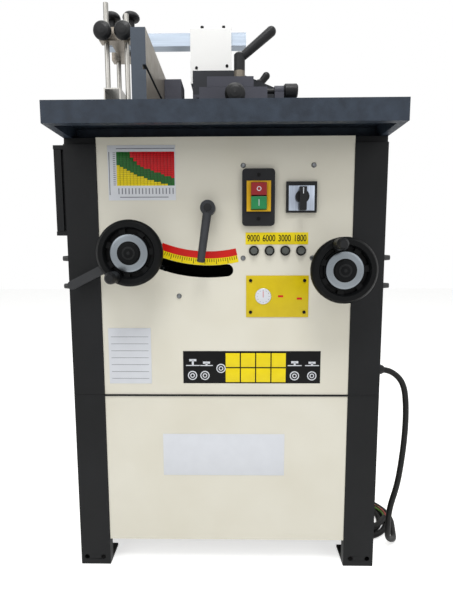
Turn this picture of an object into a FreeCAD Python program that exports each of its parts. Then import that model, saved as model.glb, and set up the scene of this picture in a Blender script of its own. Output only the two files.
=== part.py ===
# Spindle moulder: a cabinet on corner posts, a cast table, a tilting spindle and a fence on top.
# Millimetres, +Z up, +Y away from the front panel, the operator's side at -X, the floor at Z 0.
import FreeCAD
import Part
import math
import os
import Sketcher
from FreeCAD import Rotation, Vector

SIZES = {
    # Cabinet of folded sheet on corner posts
    "cabinet_width": 606,
    "cabinet_depth": 620,
    "sheet": 2.5,
    "lower_height": 364,
    "divider_sheet": 3,
    "upper_height": 484,
    "top_ring": 12,
    "top_ring_width": 45,
    "post_face": 61,
    "post_side": 60,
    "post_return": 20,
    "panel_recess": 2,
    "panel_gap": 0.4,
    "panel_flange": 16,
    "lower_panel_bottom": 56,
    "foot_plate": 5,
    "anchor_hole": 12,
    "foot_hole": 10,
    "foot_hole_height": 16.5,
    "foot_hole_edge": 12,
    "foot_hole_spacing": 34,
    # Cast table
    "table_width": 608,
    "table_overhang": 90,
    "table_rim": 37,
    "table_wall": 15,
    "table_plate": 14,
    "opening_radius": 100,
    "ring_ledge": 10,
    "ring_height": 6,
    "ring_bore": 75,
    "fence_slot_width": 12,
    "fence_slot_length": 90,
    # Tilt about an axis along Y, just under the table's top face
    "spindle_offset": 32,
    "pivot_drop": 10,
    "trunnion_radius": 100,
    "trunnion_width": 22,
    "trunnion_spacing": 98,
    "groove_inner": 80,
    "groove_outer": 90,
    "groove_depth": 8,
    "tongue_span": 72,
    "slide_fit": 0.3,
    "running_fit": 0.05,
    "slot_radius": 278,
    "slot_height": 23.5,
    "slot_start": 31.6,
    "slot_end": 7.3,
    # Tilting cradle
    "cradle_plate": 14,
    "cradle_inner": 62,
    "cradle_outer": 300,
    "cradle_left_angle": 38,
    "cradle_right_angle": 43,
    "rear_plate_outer": 200,
    "deck_height": 128,
    "deck_plate": 12,
    "deck_left": 150,
    "deck_right": 62,
    "deck_bore": 52,
    "column_radius": 12.5,
    "column_left": 103,
    "column_spacing": 60,
    "column_length": 270,
    "tie_plate": 10,
    "sector_pitch": 324,
    "sector_width": 10,
    "sector_rim": 44,
    "pinion_pitch": 42,
    "gear_module": 2,
    "tilt_wheel_angle": 41.7,
    # Handwheels, shafts and levers on the front
    "height_wheel_angle": 29.5,
    "shaft_radius": 8,
    "sleeve_radius": 11,
    "tilt_sleeve_radius": 17,
    "tilt_sleeve_length": 188,
    "wheel_radius": 59,
    "wheel_rim_inner": 43,
    "wheel_pocket_inner": 35,
    "wheel_hub": 20,
    "wheel_rim_width": 22,
    "wheel_web": 10,
    "wheel_standoff": 50,
    "wheel_hub_gap": 32,
    "pocket_count": 7,
    "pocket_span": 35,
    "grip_radius": 10.5,
    "grip_length": 40,
    "grip_offset": 48,
    "grip_pin": 4,
    "lock_lever_length": 134,
    "lock_lever_width": 17,
    "lock_lever_sheet": 6,
    "lock_lever_angle": 26.5,
    "clamp_height": 731,
    "clamp_hub": 14,
    "clamp_arm": 103,
    "clamp_arm_radius": 7,
    # Spindle carriage, spindle and drive
    "bevel_pitch": 20,
    "bevel_face": 8,
    "bevel_teeth": 20,
    "carriage_plate": 12,
    "carriage_top": 587,
    "bush_radius": 19,
    "bush_length": 30,
    "housing_radius": 45,
    "housing_height": 243,
    "bearing_outer": 31,
    "bearing_width": 18,
    "spindle_radius": 20,
    "arbor_radius": 15,
    "arbor_top": 90,
    "spacer_radius": 25,
    "motor_left": 60,
    "motor_wall": 30,
    "motor_radius": 75,
    "motor_height": 215,
    "motor_shaft": 12,
    "pulley_step": 15,
    "pulley_sum": 100,
    "pulley_rim": 5,
    "belt_half_width": 4,
    "belt_height": 9,
    # Switches and lamps on the front panel
    "switch_left": 32,
    "switch_width": 61,
    "switch_bottom": 698,
    "switch_height": 105,
    "switch_depth": 10,
    "switch_corner": 7,
    "bezel_margin": 8,
    "bezel_bottom": 26,
    "bezel_height": 56,
    "bezel_depth": 5,
    "button_width": 29,
    "button_height": 23,
    "button_proud": 9,
    "button_gap": 4,
    "switch_body": 44,
    "selector_x": 143,
    "selector_z": 751,
    "selector_side": 57,
    "selector_depth": 7,
    "selector_knob_width": 13,
    "selector_knob_height": 42,
    "selector_knob_radius": 12.5,
    "selector_knob_depth": 20,
    "lamp_left": 54.5,
    "lamp_spacing": 29.9,
    "lamp_z": 651.5,
    "lamp_radius": 9,
    "lamp_body": 6.5,
    # Belt access door on the operator's side
    "door_proud": 22,
    "door_start": 12,
    "door_width": 320,
    "door_bottom": 690,
    "door_height": 152,
    "door_sheet": 2,
    "door_pin": 3,
    "door_knob_radius": 15,
    "door_knob_depth": 16,
    # Fence, hood and guard on the table
    "fence_face": 162,
    "fence_thickness": 26,
    "fence_height": 135,
    "fence_gap": 60,
    "fence_length": 290,
    "fence_groove": 8,
    "fence_groove_depth": 6,
    "fence_groove_height": 70,
    "wing_gap": 95,
    "wing_width": 95,
    "wing_left": 56,
    "wing_right": 87,
    "wing_height": 92,
    "corner_left": 74,
    "corner_near": 45,
    "corner_depth": 17,
    "corner_height": 80,
    "link_depth": 15,
    "link_low": 50,
    "link_height": 36,
    "link_top": 99,
    "link_sheet": 7,
    "bridge_right": 160,
    "bridge_height": 12,
    "slide_width": 80,
    "slide_left": 39.5,
    "slide_right": 58,
    "slide_height": 21,
    "arm_height": 13,
    "lug_left_gap": 0.3,
    "lug_width": 37,
    "lug_depth": 65,
    "lug_setback": 45,
    "lug_height": 125,
    "adjuster_height": 96,
    "adjuster_boss": 105,
    "adjuster_boss_width": 20,
    "adjuster_knob": 30,
    "adjuster_knob_radius": 15,
    "adjuster_boss_radius": 11,
    "adjuster_screw": 5,
    "knob_radius": 21,
    "knob_height": 20,
    "knob_stem": 5,
    "knob_neck": 8,
    "ball_x": 19,
    "ball_height": 69,
    "lever_x": 29,
    "lever_hub": 12,
    "lever_hub_height": 62,
    "lever_reach": 76,
    "lever_rise": 62,
    "hood_left": 77,
    "hood_flat": 15,
    "hood_shoulder": 107,
    "hood_right": 150,
    "hood_top": 158,
    "hood_shoulder_height": 121,
    "hood_right_height": 98,
    "hood_half_depth": 104,
    "hood_sheet": 3,
    "hood_lever_hub": 10,
    "hood_lever_height": 16,
    "hood_lever_reach": 22,
    "hood_lever_rise": 27,
    "outlet_radius": 40,
    "outlet_length": 42,
    "post_left": 89,
    "post_right": 11,
    "guard_half_depth": 25,
    "guard_top": 286,
    "arm_side": 30,
    "arm_bottom": 250,
    "arm_left": 300,
    "arm_right": 47,
    "arm_fit": 0.5,
    "rod_radius": 6,
    "top_rod_x": 284.5,
    "side_rod_x": 237,
    "rod_spacing": 54,
    "head_block": 24,
    "head_block_height": 30,
    "head_knob_height": 253,
    "head_margin": 15,
    "head_plate": 8,
    "top_rod_top": 330,
    "side_rod_top": 305,
    "shoe_length": 140,
    "top_shoe_bottom": 98,
    "top_shoe_height": 37,
    "top_shoe_width": 40,
    "shoe_sheet": 3,
    "side_shoe_bottom": 15,
    "side_shoe_height": 30,
    "side_shoe_width": 26,
    # Mains cord
    "cord_radius": 6,
    "gland_radius": 11,
    "gland_length": 22,
    "gland_back": 45,
    "gland_height": 407,
    "coil_x": 308,
    "coil_back": 158,
    "coil_radius": 88,
    "coil_pitch": 15,
    "coil_layer": 13.5,
    "coil_start_angle": -28,
    "coil_turns": 2,
    "cord_lift": 0.2,
    # Screws
    "screw_head": 5,
    "screw_head_height": 3,
    "side_screw_head": 6,
    "side_screw_height": 14,
    "side_screw_inset": 14,
}


class Size:
    """A length or an angle that carries its value and the formula that binds it to the sheet."""

    def __init__(self, value, formula):
        self.value = value
        self.formula = formula

    @staticmethod
    def of(thing):
        if isinstance(thing, Size):
            return thing
        return Size(float(thing), repr(float(thing)))

    def joined(self, other, sign, value):
        return Size(value, f"({self.formula} {sign} {other.formula})")

    def __add__(self, other):
        other = Size.of(other)
        return self.joined(other, "+", self.value + other.value)

    def __sub__(self, other):
        other = Size.of(other)
        return self.joined(other, "-", self.value - other.value)

    def __mul__(self, other):
        other = Size.of(other)
        return self.joined(other, "*", self.value * other.value)

    def __truediv__(self, other):
        other = Size.of(other)
        return self.joined(other, "/", self.value / other.value)

    def __radd__(self, other):
        return Size.of(other) + self

    def __rsub__(self, other):
        return Size.of(other) - self

    def __rmul__(self, other):
        return Size.of(other) * self

    def __neg__(self):
        return Size.of(0) - self


class Sheet:
    """The driving dimensions by name."""


def sine(angle):
    return Size(math.sin(math.radians(angle.value)), f"sin({angle.formula})")


def cosine(angle):
    return Size(math.cos(math.radians(angle.value)), f"cos({angle.formula})")


def number(thing):
    return Size.of(thing).value


doc = FreeCAD.newDocument("SpindleMoulder")
sheet = doc.addObject("Spreadsheet::Sheet", "Sizes")
for row, (alias, value) in enumerate(SIZES.items(), start=1):
    sheet.set(f"A{row}", alias)
    sheet.set(f"B{row}", str(value))
    sheet.setAlias(f"B{row}", alias)
doc.recompute()
d = Sheet()
for alias in SIZES:
    setattr(d, alias, Size(float(getattr(sheet, alias)), f"Sizes.{alias}"))

# Main planes. The origin is the middle of the whole machine's footprint.
reach_front = d.wheel_standoff + d.wheel_rim_width + d.grip_length
middle = (d.door_proud + d.door_knob_depth - d.gland_length) / 2
front = (reach_front - d.cabinet_depth - d.table_overhang) / 2
left = middle - d.cabinet_width / 2
right = middle + d.cabinet_width / 2
back = front + d.cabinet_depth
upper_z = d.lower_height + d.divider_sheet
post_top = upper_z + d.upper_height
rim_z = post_top + d.top_ring
table_top = rim_z + d.table_rim
plate_z = table_top - d.table_plate
spindle_x = middle - d.spindle_offset
spindle_y = front + d.cabinet_depth / 2
pivot_z = table_top - d.pivot_drop
panel_y = front + d.panel_recess
NODES = []


def bind(thing, name, size):
    """Sets one size of an object, and ties it to the sheet where it comes from there."""
    if isinstance(size, Size):
        thing.setExpression(name, size.formula)
    else:
        setattr(thing, name, size)


def place(thing, at, turn=Rotation()):
    thing.Placement = FreeCAD.Placement(Vector(*[number(v) for v in at]), turn)
    for axis, v in zip("xyz", at):
        if isinstance(v, Size):
            thing.setExpression(f"Placement.Base.{axis}", v.formula)
    return thing


TURNS = {
    "+X": Rotation(Vector(0, 1, 0), 90),
    "-X": Rotation(Vector(0, 1, 0), -90),
    "+Y": Rotation(Vector(1, 0, 0), -90),
    "-Y": Rotation(Vector(1, 0, 0), 90),
    "+Z": Rotation(),
    "-Z": Rotation(Vector(1, 0, 0), 180),
}
# A pie's first edge points straight down, it turns towards +X, and its thickness goes towards -Y.
DOWNWARD = Rotation(Vector(0, 0, -1), Vector(1, 0, 0), Vector(0, -1, 0), "ZXY")


def box(one, other):
    """A block between two opposite corners."""
    thing = doc.addObject("Part::Box", "Block")
    low = []
    for name, a, b in zip(("Length", "Width", "Height"), one, other):
        first, last = (a, b) if number(a) < number(b) else (b, a)
        bind(thing, name, Size.of(last) - first)
        low.append(first)
    return place(thing, low)


def rod(start, way, length, radius):
    thing = doc.addObject("Part::Cylinder", "Rod")
    bind(thing, "Radius", radius)
    bind(thing, "Height", length)
    return place(thing, start, TURNS[way])


def cone(start, way, length, first, last):
    thing = doc.addObject("Part::Cone", "Taper")
    bind(thing, "Radius1", first)
    bind(thing, "Radius2", last)
    bind(thing, "Height", length)
    return place(thing, start, TURNS[way])


def ball(centre, radius):
    thing = doc.addObject("Part::Sphere", "Ball")
    bind(thing, "Radius", radius)
    return place(thing, centre)


def pie(x, z, near, far, radius, start, end):
    """A sector about an axis along Y, from one angle to another, counted from straight down to +X."""
    thing = doc.addObject("Part::Cylinder", "Pie")
    bind(thing, "Radius", radius)
    bind(thing, "Height", Size.of(far) - near)
    bind(thing, "Angle", Size.of(end) - start)
    return place(thing, (x, far, z), Rotation(Vector(0, -1, 0), number(start)) * DOWNWARD)


def fuse(*things):
    thing = doc.addObject("Part::MultiFuse", "Joined")
    thing.Shapes = list(things)
    return thing


def cut(base, *tools):
    thing = doc.addObject("Part::Cut", "Opened")
    thing.Base = base
    thing.Tool = tools[0] if len(tools) == 1 else fuse(*tools)
    return thing


def group(*things):
    thing = doc.addObject("Part::Compound", "Set")
    thing.Links = list(things)
    return thing


def arc_band(x, z, near, far, inner, outer, start, end):
    """A curved bar about an axis along Y."""
    return cut(pie(x, z, near, far, outer, start, end), rod((x, near - 1, z), "+Y", far - near + 2, inner))


def tube(start, way, length, outer, inner):
    return cut(rod(start, way, length, outer), rod(start, way, length, inner))


def outline(body, plane, points):
    """A closed sketch of straight sides whose corners are tied to the sheet."""
    sketch = body.newObject("Sketcher::SketchObject", "Outline")
    flat = [f for f in body.Origin.OriginFeatures if f.Role == plane][0]
    sketch.AttachmentSupport = [(flat, "")]
    sketch.MapMode = "FlatFace"
    count = len(points)
    corners = [Vector(number(u), number(v), 0) for u, v in points]
    for i in range(count):
        sketch.addGeometry(Part.LineSegment(corners[i], corners[(i + 1) % count]))
    for i in range(count):
        sketch.addConstraint(Sketcher.Constraint("Coincident", i, 2, (i + 1) % count, 1))
    for i, corner in enumerate(points):
        for letter, size in zip("XY", corner):
            fixed = Sketcher.Constraint(f"Distance{letter}", -1, 1, i, 1, number(size))
            index = sketch.addConstraint(fixed)
            sketch.renameConstraint(index, f"{letter.lower()}_{i}")
            sketch.setExpression(f"Constraints.{letter.lower()}_{i}", Size.of(size).formula)
    return sketch


def turned(at, way, points):
    """A turned piece from its half profile of (radius, height) corners."""
    body = doc.addObject("PartDesign::Body", "Turned")
    sketch = outline(body, "XZ_Plane", points)
    doc.recompute()
    spun = body.newObject("PartDesign::Revolution", "Spun")
    spun.Profile = sketch
    spun.ReferenceAxis = (sketch, ["V_Axis"])
    spun.Angle = 360
    return place(body, at, TURNS[way])


def shaped(shape):
    """A piece whose shape comes from a formula."""
    thing = doc.addObject("Part::Feature", "Formed")
    thing.Shape = shape
    return thing


def node(name, thing):
    thing.Label = name
    NODES.append(thing)
    return thing


def post(side, end, low, high):
    """A folded corner post: a face towards the front or back, a side and an inner return."""
    outer = left if side < 0 else right
    face = front if end < 0 else back
    inner = outer - side * d.post_face
    skin = outer - side * d.sheet
    deep = face - end * d.sheet
    return [
        box((outer, face, low), (inner, deep, high)),
        box((outer, face, low), (skin, face - end * d.post_side, high)),
        box((inner, face, low), (inner + side * d.sheet, face - end * d.post_return, high)),
    ]


CORNERS = [(-1, -1), (1, -1), (-1, 1), (1, 1)]


def lower_posts():
    posts = []
    for side, end in CORNERS:
        outer = left if side < 0 else right
        face = front if end < 0 else back
        foot = box((outer, face, 0), (outer - side * d.post_face, face - end * d.post_side, d.foot_plate))
        anchor_x = outer - side * d.post_face / 2
        anchor_y = face - end * (d.post_side + d.post_return) / 2
        holes = [rod((anchor_x, anchor_y, -1), "+Z", d.foot_plate + 2, d.anchor_hole / 2)]
        for step in (0, 1):
            hole_x = outer - side * (d.foot_hole_edge + step * d.foot_hole_spacing)
            start = (hole_x, face + end, d.foot_hole_height)
            way = "+Y" if end < 0 else "-Y"
            holes.append(rod(start, way, d.sheet + 2, d.foot_hole / 2))
        posts.append(cut(fuse(foot, *post(side, end, 0, d.lower_height)), *holes))
    node("lower_posts", group(*posts))


def upper_frame():
    """Four upper posts welded to the ring that the table stands on, with the door's hinge ears."""
    pieces = []
    for side, end in CORNERS:
        pieces += post(side, end, upper_z, post_top)
    setback = d.panel_recess + d.sheet + d.panel_gap
    ring = cut(
        box((left, front + setback, post_top), (right, back - setback, rim_z)),
        box((left + d.top_ring_width, front + setback + d.top_ring_width, post_top - 1),
            (right - d.top_ring_width, back - setback - d.top_ring_width, rim_z + 1)),
    )
    ears = []
    for low, high in door_ears():
        ears.append(cut(
            box((left - d.door_proud, door_hinge_y - 2 * d.door_pin, low),
                (left, door_hinge_y + 2 * d.door_pin, high)),
            rod((door_hinge_x, door_hinge_y, low - 1), "+Z", high - low + 2, d.door_pin + d.running_fit),
        ))
    gland_hole = rod((right - d.sheet - 1, gland_y, d.gland_height), "+X", d.sheet + 2, d.cord_radius + 0.5)
    node("upper_frame", cut(fuse(*pieces, ring, *ears), gland_hole))


door_hinge_x = left - d.door_proud / 2
door_hinge_y = front + d.door_start
gland_y = front + d.gland_back
ear_height = 8


def door_ears():
    """The heights of the two hinge ears, just under and over the door."""
    low_ear = (d.door_bottom - d.slide_fit - ear_height, d.door_bottom - d.slide_fit)
    top = d.door_bottom + d.door_height + d.slide_fit
    return [low_ear, (top, top + ear_height)]


def pan(x_low, x_high, y_low, y_high, z_low, z_high, fold_top, flange_way):
    """A sheet panel in the XZ plane whose two sides are folded back, up to a height."""
    fold = y_high + flange_way * d.panel_flange
    return [
        box((x_low, y_low, z_low), (x_high, y_high, z_high)),
        box((x_low, y_low, z_low), (x_low + d.sheet, fold, fold_top)),
        box((x_high - d.sheet, y_low, z_low), (x_high, fold, fold_top)),
    ]


panel_left = left + d.post_face + d.panel_gap
panel_right = right - d.post_face - d.panel_gap
height_x = spindle_x - d.slot_radius * sine(d.height_wheel_angle)
height_z = pivot_z - d.slot_radius * cosine(d.height_wheel_angle)
tilt_reach = d.sector_pitch + d.pinion_pitch
tilt_x = spindle_x + tilt_reach * sine(d.tilt_wheel_angle)
tilt_z = pivot_z - tilt_reach * cosine(d.tilt_wheel_angle)


def upper_front_panel():
    panel = fuse(*pan(panel_left, panel_right, panel_y, panel_y + d.sheet,
                      upper_z + d.panel_gap, rim_z - d.panel_gap, post_top - d.panel_gap, 1))
    near = panel_y - 1
    far = panel_y + d.sheet + 1
    deep = d.sheet + 2
    slot = arc_band(spindle_x, pivot_z, near, far, d.slot_radius - d.slot_height / 2,
                    d.slot_radius + d.slot_height / 2, -d.slot_start, d.slot_end)
    body = switch_body_corners()
    holes = [
        slot,
        rod((tilt_x, near, tilt_z), "+Y", deep, d.shaft_radius + 1),
        rod((spindle_x, near, d.clamp_height), "+Y", deep, d.clamp_arm_radius - 1),
        box((body[0], near, body[1]), (body[2], far, body[3])),
        box((middle + d.selector_x - selector_body, near, d.selector_z - selector_body),
            (middle + d.selector_x + selector_body, far, d.selector_z + selector_body)),
    ]
    for way, angle in ((-1, d.slot_start), (1, d.slot_end)):
        end_x = spindle_x + way * d.slot_radius * sine(angle)
        holes.append(rod((end_x, near, pivot_z - d.slot_radius * cosine(angle)), "+Y", deep,
                         d.slot_height / 2))
    for i in range(4):
        holes.append(rod((lamp_x(i), near, d.lamp_z), "+Y", deep, d.lamp_body + d.slide_fit))
    node("upper_front_panel", cut(panel, *holes))


selector_body = d.selector_side / 2 - 8


def lamp_x(i):
    return middle + d.lamp_left + i * d.lamp_spacing


def switch_body_corners():
    """The switch's body behind its bezel: left, bottom, right and top."""
    x_low = middle + d.switch_left + d.bezel_margin
    x_high = middle + d.switch_left + d.switch_width - d.bezel_margin
    z_low = d.switch_bottom + d.bezel_bottom
    return x_low, z_low, x_high, z_low + d.bezel_height


def side_panel(side, low, high):
    """A flat side panel between a front and a rear post, with its ends folded inwards."""
    skin = (left if side < 0 else right) - side * (d.sheet + d.panel_recess)
    inner = skin - side * d.sheet
    fold = inner - side * d.panel_flange
    near = front + d.post_side + d.panel_gap
    far = back - d.post_side - d.panel_gap
    return fuse(
        box((skin, near, low), (inner, far, high)),
        box((skin, near, low), (fold, near + d.sheet, high)),
        box((skin, far - d.sheet, low), (fold, far, high)),
        box((skin + side * d.panel_recess, near, low), (skin, near + d.panel_flange, high)),
        box((skin + side * d.panel_recess, far - d.panel_flange, low), (skin, far, high)),
    )


def upper_panels():
    low = upper_z + d.panel_gap
    high = post_top - d.panel_gap
    margin = 14
    opening = box((left - 1, front + d.post_side + d.panel_flange + margin, d.door_bottom + margin),
                  (left + 4 * d.panel_flange, front + d.door_start + d.door_width - margin,
                   d.door_bottom + d.door_height - margin))
    rear = fuse(*pan(panel_left, panel_right, back - d.panel_recess, back - d.panel_recess - d.sheet,
                     low, rim_z - d.panel_gap, high, -1))
    node("upper_panels", group(cut(side_panel(-1, low, high), opening), side_panel(1, low, high), rear))


def lower_panels():
    low = d.lower_panel_bottom
    high = d.lower_height - d.panel_gap
    front_pan = fuse(*pan(panel_left, panel_right, panel_y, panel_y + d.sheet, low, high, high, 1))
    rear_pan = fuse(*pan(panel_left, panel_right, back - d.panel_recess, back - d.panel_recess - d.sheet,
                         low, high, high, -1))
    node("lower_panels", group(front_pan, side_panel(-1, low, high), side_panel(1, low, high), rear_pan))


def divider_plate():
    node("divider_plate", box((left, front, d.lower_height), (right, back, upper_z)))


fence_bolt_x = middle + (d.wing_right - d.wing_left) / 2
wing_front = spindle_y - d.wing_gap - d.wing_width
wing_back = spindle_y + d.wing_gap + d.wing_width
fence_bolt_y = (wing_front + d.wing_width / 2, wing_back - d.wing_width / 2)


def worktable():
    """A hollow casting: a plate with a deep rim, two cross ribs, the spindle opening and two slots."""
    table_left = middle - d.table_width / 2
    table_right = middle + d.table_width / 2
    table_front = front - d.table_overhang
    table_back = back + d.table_overhang
    block = box((table_left, table_front, rim_z), (table_right, table_back, table_top))
    hollow = box((table_left + d.table_wall, table_front + d.table_wall, rim_z - 1),
                 (table_right - d.table_wall, table_back - d.table_wall, plate_z))
    ribs = []
    for y in (front + d.top_ring_width, back - d.top_ring_width):
        ribs.append(box((table_left, y - d.table_wall / 2, rim_z),
                        (table_right, y + d.table_wall / 2, plate_z)))
    holes = [
        rod((spindle_x, spindle_y, plate_z - 1), "+Z", d.table_plate + 2, d.opening_radius),
        rod((spindle_x, spindle_y, table_top - d.ring_height), "+Z", d.ring_height + 1,
            d.opening_radius + d.ring_ledge),
    ]
    for y in fence_bolt_y:
        half = d.fence_slot_length / 2
        holes.append(box((fence_bolt_x - half, y - d.fence_slot_width / 2, plate_z - 1),
                         (fence_bolt_x + half, y + d.fence_slot_width / 2, table_top + 1)))
    node("worktable", cut(fuse(cut(block, hollow), *ribs), *holes))
    ring_radius = d.opening_radius + d.ring_ledge - d.slide_fit
    node("insert_ring", tube((spindle_x, spindle_y, table_top - d.ring_height), "+Z", d.ring_height,
                             ring_radius, d.ring_bore))


# The two trunnion brackets stand outside the cradle's end plates.
front_face = spindle_y - d.trunnion_spacing
rear_face = spindle_y + d.trunnion_spacing


def trunnion_brackets():
    """Half discs under the table, each with a curved groove that carries the cradle's tongue."""
    brackets = []
    for near, far, groove_near in (
        (front_face - d.trunnion_width, front_face, front_face - d.groove_depth),
        (rear_face, rear_face + d.trunnion_width, rear_face - 1),
    ):
        disc = pie(spindle_x, pivot_z, near, far, d.trunnion_radius, -90, 90)
        above = box((spindle_x - 2 * d.trunnion_radius, near - 1, plate_z),
                    (spindle_x + 2 * d.trunnion_radius, far + 1, table_top))
        groove = arc_band(spindle_x, pivot_z, groove_near, groove_near + d.groove_depth + 1,
                          d.groove_inner, d.groove_outer, -90, 90)
        brackets.append(cut(disc, above, groove))
    node("trunnion_brackets", group(*brackets))


deck_top = pivot_z - d.deck_height
deck_low = deck_top - d.deck_plate
column_x = spindle_x - d.column_left
tie_top = deck_low - d.column_length
screw_top = height_z - d.bevel_pitch


def cradle_frame():
    """The tilting cradle: end plates on the trunnions, deck, guide columns and the wheel's sleeve."""
    near = front_face + d.slide_fit
    far = rear_face - d.slide_fit
    thick = d.cradle_plate
    lip = d.slide_fit
    half = d.tongue_span / 2
    front_plate = arc_band(spindle_x, pivot_z, near, near + thick, d.cradle_inner, d.cradle_outer,
                           -d.cradle_left_angle, d.cradle_right_angle)
    rear_plate = arc_band(spindle_x, pivot_z, far - thick, far, d.cradle_inner, d.rear_plate_outer,
                          -d.cradle_right_angle, d.cradle_left_angle)
    tongues = [
        arc_band(spindle_x, pivot_z, front_face - d.groove_depth + lip, near, d.groove_inner + lip,
                 d.groove_outer - lip, -half, half),
        arc_band(spindle_x, pivot_z, far, rear_face + d.groove_depth - lip - 1, d.groove_inner + lip,
                 d.groove_outer - lip, -half, half),
    ]
    deck = cut(
        box((spindle_x - d.deck_left, near + thick / 2, deck_low),
            (spindle_x + d.deck_right, far - thick / 2, deck_top)),
        rod((spindle_x, spindle_y, deck_low - 1), "+Z", d.deck_plate + 2, d.deck_bore),
    )
    columns = []
    for end in (-1, 1):
        columns.append(rod((column_x, spindle_y + end * d.column_spacing, tie_top - d.tie_plate), "+Z",
                           d.column_length + d.tie_plate + 1, d.column_radius))
    tie = box((height_x - d.bush_radius, spindle_y - d.column_spacing - d.column_radius,
               tie_top - d.tie_plate),
              (column_x + d.column_radius, spindle_y + d.column_spacing + d.column_radius, tie_top))
    sleeve_front = panel_y - d.wheel_hub_gap + d.panel_recess + 2
    sleeve = rod((height_x, sleeve_front, height_z), "+Y", near + thick + 30 - sleeve_front,
                 d.sleeve_radius)
    bore = rod((height_x, sleeve_front - 1, height_z), "+Y", near + thick + 40 - sleeve_front,
               d.shaft_radius + d.running_fit)
    screw_seat = rod((height_x, spindle_y, tie_top + 1), "-Z", d.tie_plate - 1,
                     d.shaft_radius + d.running_fit)
    frame = fuse(front_plate, rear_plate, *tongues, deck, *columns, tie, sleeve)
    node("cradle_frame", cut(frame, bore, screw_seat))


def gear_points(pitch, module, teeth, first, count, inward=0.0):
    """Corners of straight-sided teeth about the origin, with room for backlash, in the XY plane."""
    step = 360 / teeth
    tip = pitch + module * 0.95
    root = pitch - module * 1.2
    points = []
    for i in range(count):
        middle_angle = first + i * step
        for radius, share in ((root, -0.34), (tip, -0.12), (tip, 0.12), (root, 0.34)):
            angle = math.radians(middle_angle + share * step)
            points.append(Vector((radius - inward) * math.cos(angle), (radius - inward) * math.sin(angle),
                                 0))
    return points


def gear_blank(points, thickness):
    face = Part.Face(Part.makePolygon(points + points[:1]))
    return face.extrude(Vector(0, 0, thickness))


sector_near = front_face + d.slide_fit - d.sector_width


def tilt_sector():
    """A toothed quadrant on the cradle's front plate, concentric with the tilt axis."""
    module = d.gear_module.value
    pitch = d.sector_pitch.value
    teeth = round(2 * pitch / module)
    step = 360 / teeth
    spare = 3
    tilt_travel = 35
    count = round(tilt_travel / step) + 2 * spare
    mesh = d.tilt_wheel_angle.value
    first = mesh + (spare - 0.5) * step - (count - 1) * step
    points = gear_points(pitch, module, teeth, first, count)
    inner = pitch - d.sector_rim.value
    for i in range(13):
        angle = math.radians(first + (count - 1) * step * (1 - i / 12))
        points.append(Vector(inner * math.cos(angle), inner * math.sin(angle), 0))
    solid = gear_blank(points, d.sector_width.value)
    solid.Placement = FreeCAD.Placement(
        Vector(spindle_x.value, sector_near.value + d.sector_width.value, pivot_z.value), DOWNWARD)
    node("tilt_sector", shaped(solid))


def wheel_profile():
    """Half profile of a dished handwheel: hub, web and rim, from its back to its front."""
    rim_back = d.wheel_standoff
    rim_front = rim_back + d.wheel_rim_width
    web = rim_back + 4
    return [
        (d.shaft_radius, d.wheel_hub_gap),
        (d.wheel_hub - 4, d.wheel_hub_gap),
        (d.wheel_hub, web),
        (d.wheel_rim_inner, web),
        (d.wheel_rim_inner + 4, rim_back),
        (d.wheel_radius - 4, rim_back),
        (d.wheel_radius, rim_back + 5),
        (d.wheel_radius, rim_front - 6),
        (d.wheel_radius - 5, rim_front),
        (d.wheel_rim_inner + 3, rim_front),
        (d.wheel_rim_inner, web + d.wheel_web),
        (d.wheel_pocket_inner, web + d.wheel_web),
        (d.wheel_pocket_inner - 2, rim_front - 4),
        (d.wheel_hub, rim_front - 3),
        (d.shaft_radius, rim_front - 3),
    ]


def handwheel(name, x, z, grip_angle):
    """A handwheel with pockets, its fixed pin and the grip that revolves on it."""
    blank = turned((x, front, z), "-Y", wheel_profile())
    near = front - d.wheel_standoff - d.wheel_rim_width
    pockets = []
    for i in range(int(d.pocket_count.value)):
        start = i * 360 / d.pocket_count.value
        pockets.append(arc_band(x, z, near - 1, front - d.wheel_standoff - 7, d.wheel_pocket_inner + 1,
                                d.wheel_rim_inner, start, start + d.pocket_span))
    radians = math.radians(grip_angle)
    pin_x = x + d.grip_offset * math.sin(radians)
    pin_z = z - d.grip_offset * math.cos(radians)
    web = front - d.wheel_standoff - 8
    pin = rod((pin_x, web, pin_z), "-Y", d.wheel_rim_width + d.grip_length - 14, d.grip_pin)
    boss = rod((pin_x, front - d.wheel_standoff - 2, pin_z), "-Y", d.wheel_rim_width - 2, d.grip_radius)
    wheel = fuse(cut(blank, *pockets), boss, pin)
    bore = rod((x, front, z), "-Y", reach_front, d.shaft_radius)
    node(f"{name}_wheel", cut(wheel, bore))
    grip_back = -near + d.slide_fit
    hollow = d.grip_pin + d.running_fit
    deep = d.grip_length - 4
    node(f"{name}_grip", turned((pin_x, 0, pin_z), "-Y", [
        (hollow, grip_back),
        (d.grip_radius - 2, grip_back),
        (d.grip_radius, grip_back + 6),
        (d.grip_radius, grip_back + d.grip_length - 8),
        (d.grip_radius - 4, grip_back + d.grip_length - d.slide_fit),
        (0, grip_back + d.grip_length - d.slide_fit),
        (0, grip_back + deep),
        (hollow, grip_back + deep),
    ]))


def bevel(teeth_shift, apex, turn):
    """A bevel gear whose teeth run to the apex, where the two shafts cross."""
    pitch = d.bevel_pitch.value
    face = d.bevel_face.value
    teeth = int(d.bevel_teeth.value)
    module = 2 * pitch / teeth
    wires = []
    for radius in (pitch, pitch - face):
        points = gear_points(pitch, module, teeth, teeth_shift, teeth)
        share = radius / pitch
        points = [Vector(p.x * share, p.y * share, -radius) for p in points]
        wires.append(Part.makePolygon(points + points[:1]))
    solid = Part.makeLoft(wires, True, True)
    solid.Placement = FreeCAD.Placement(apex, turn)
    return shaped(solid)


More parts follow.
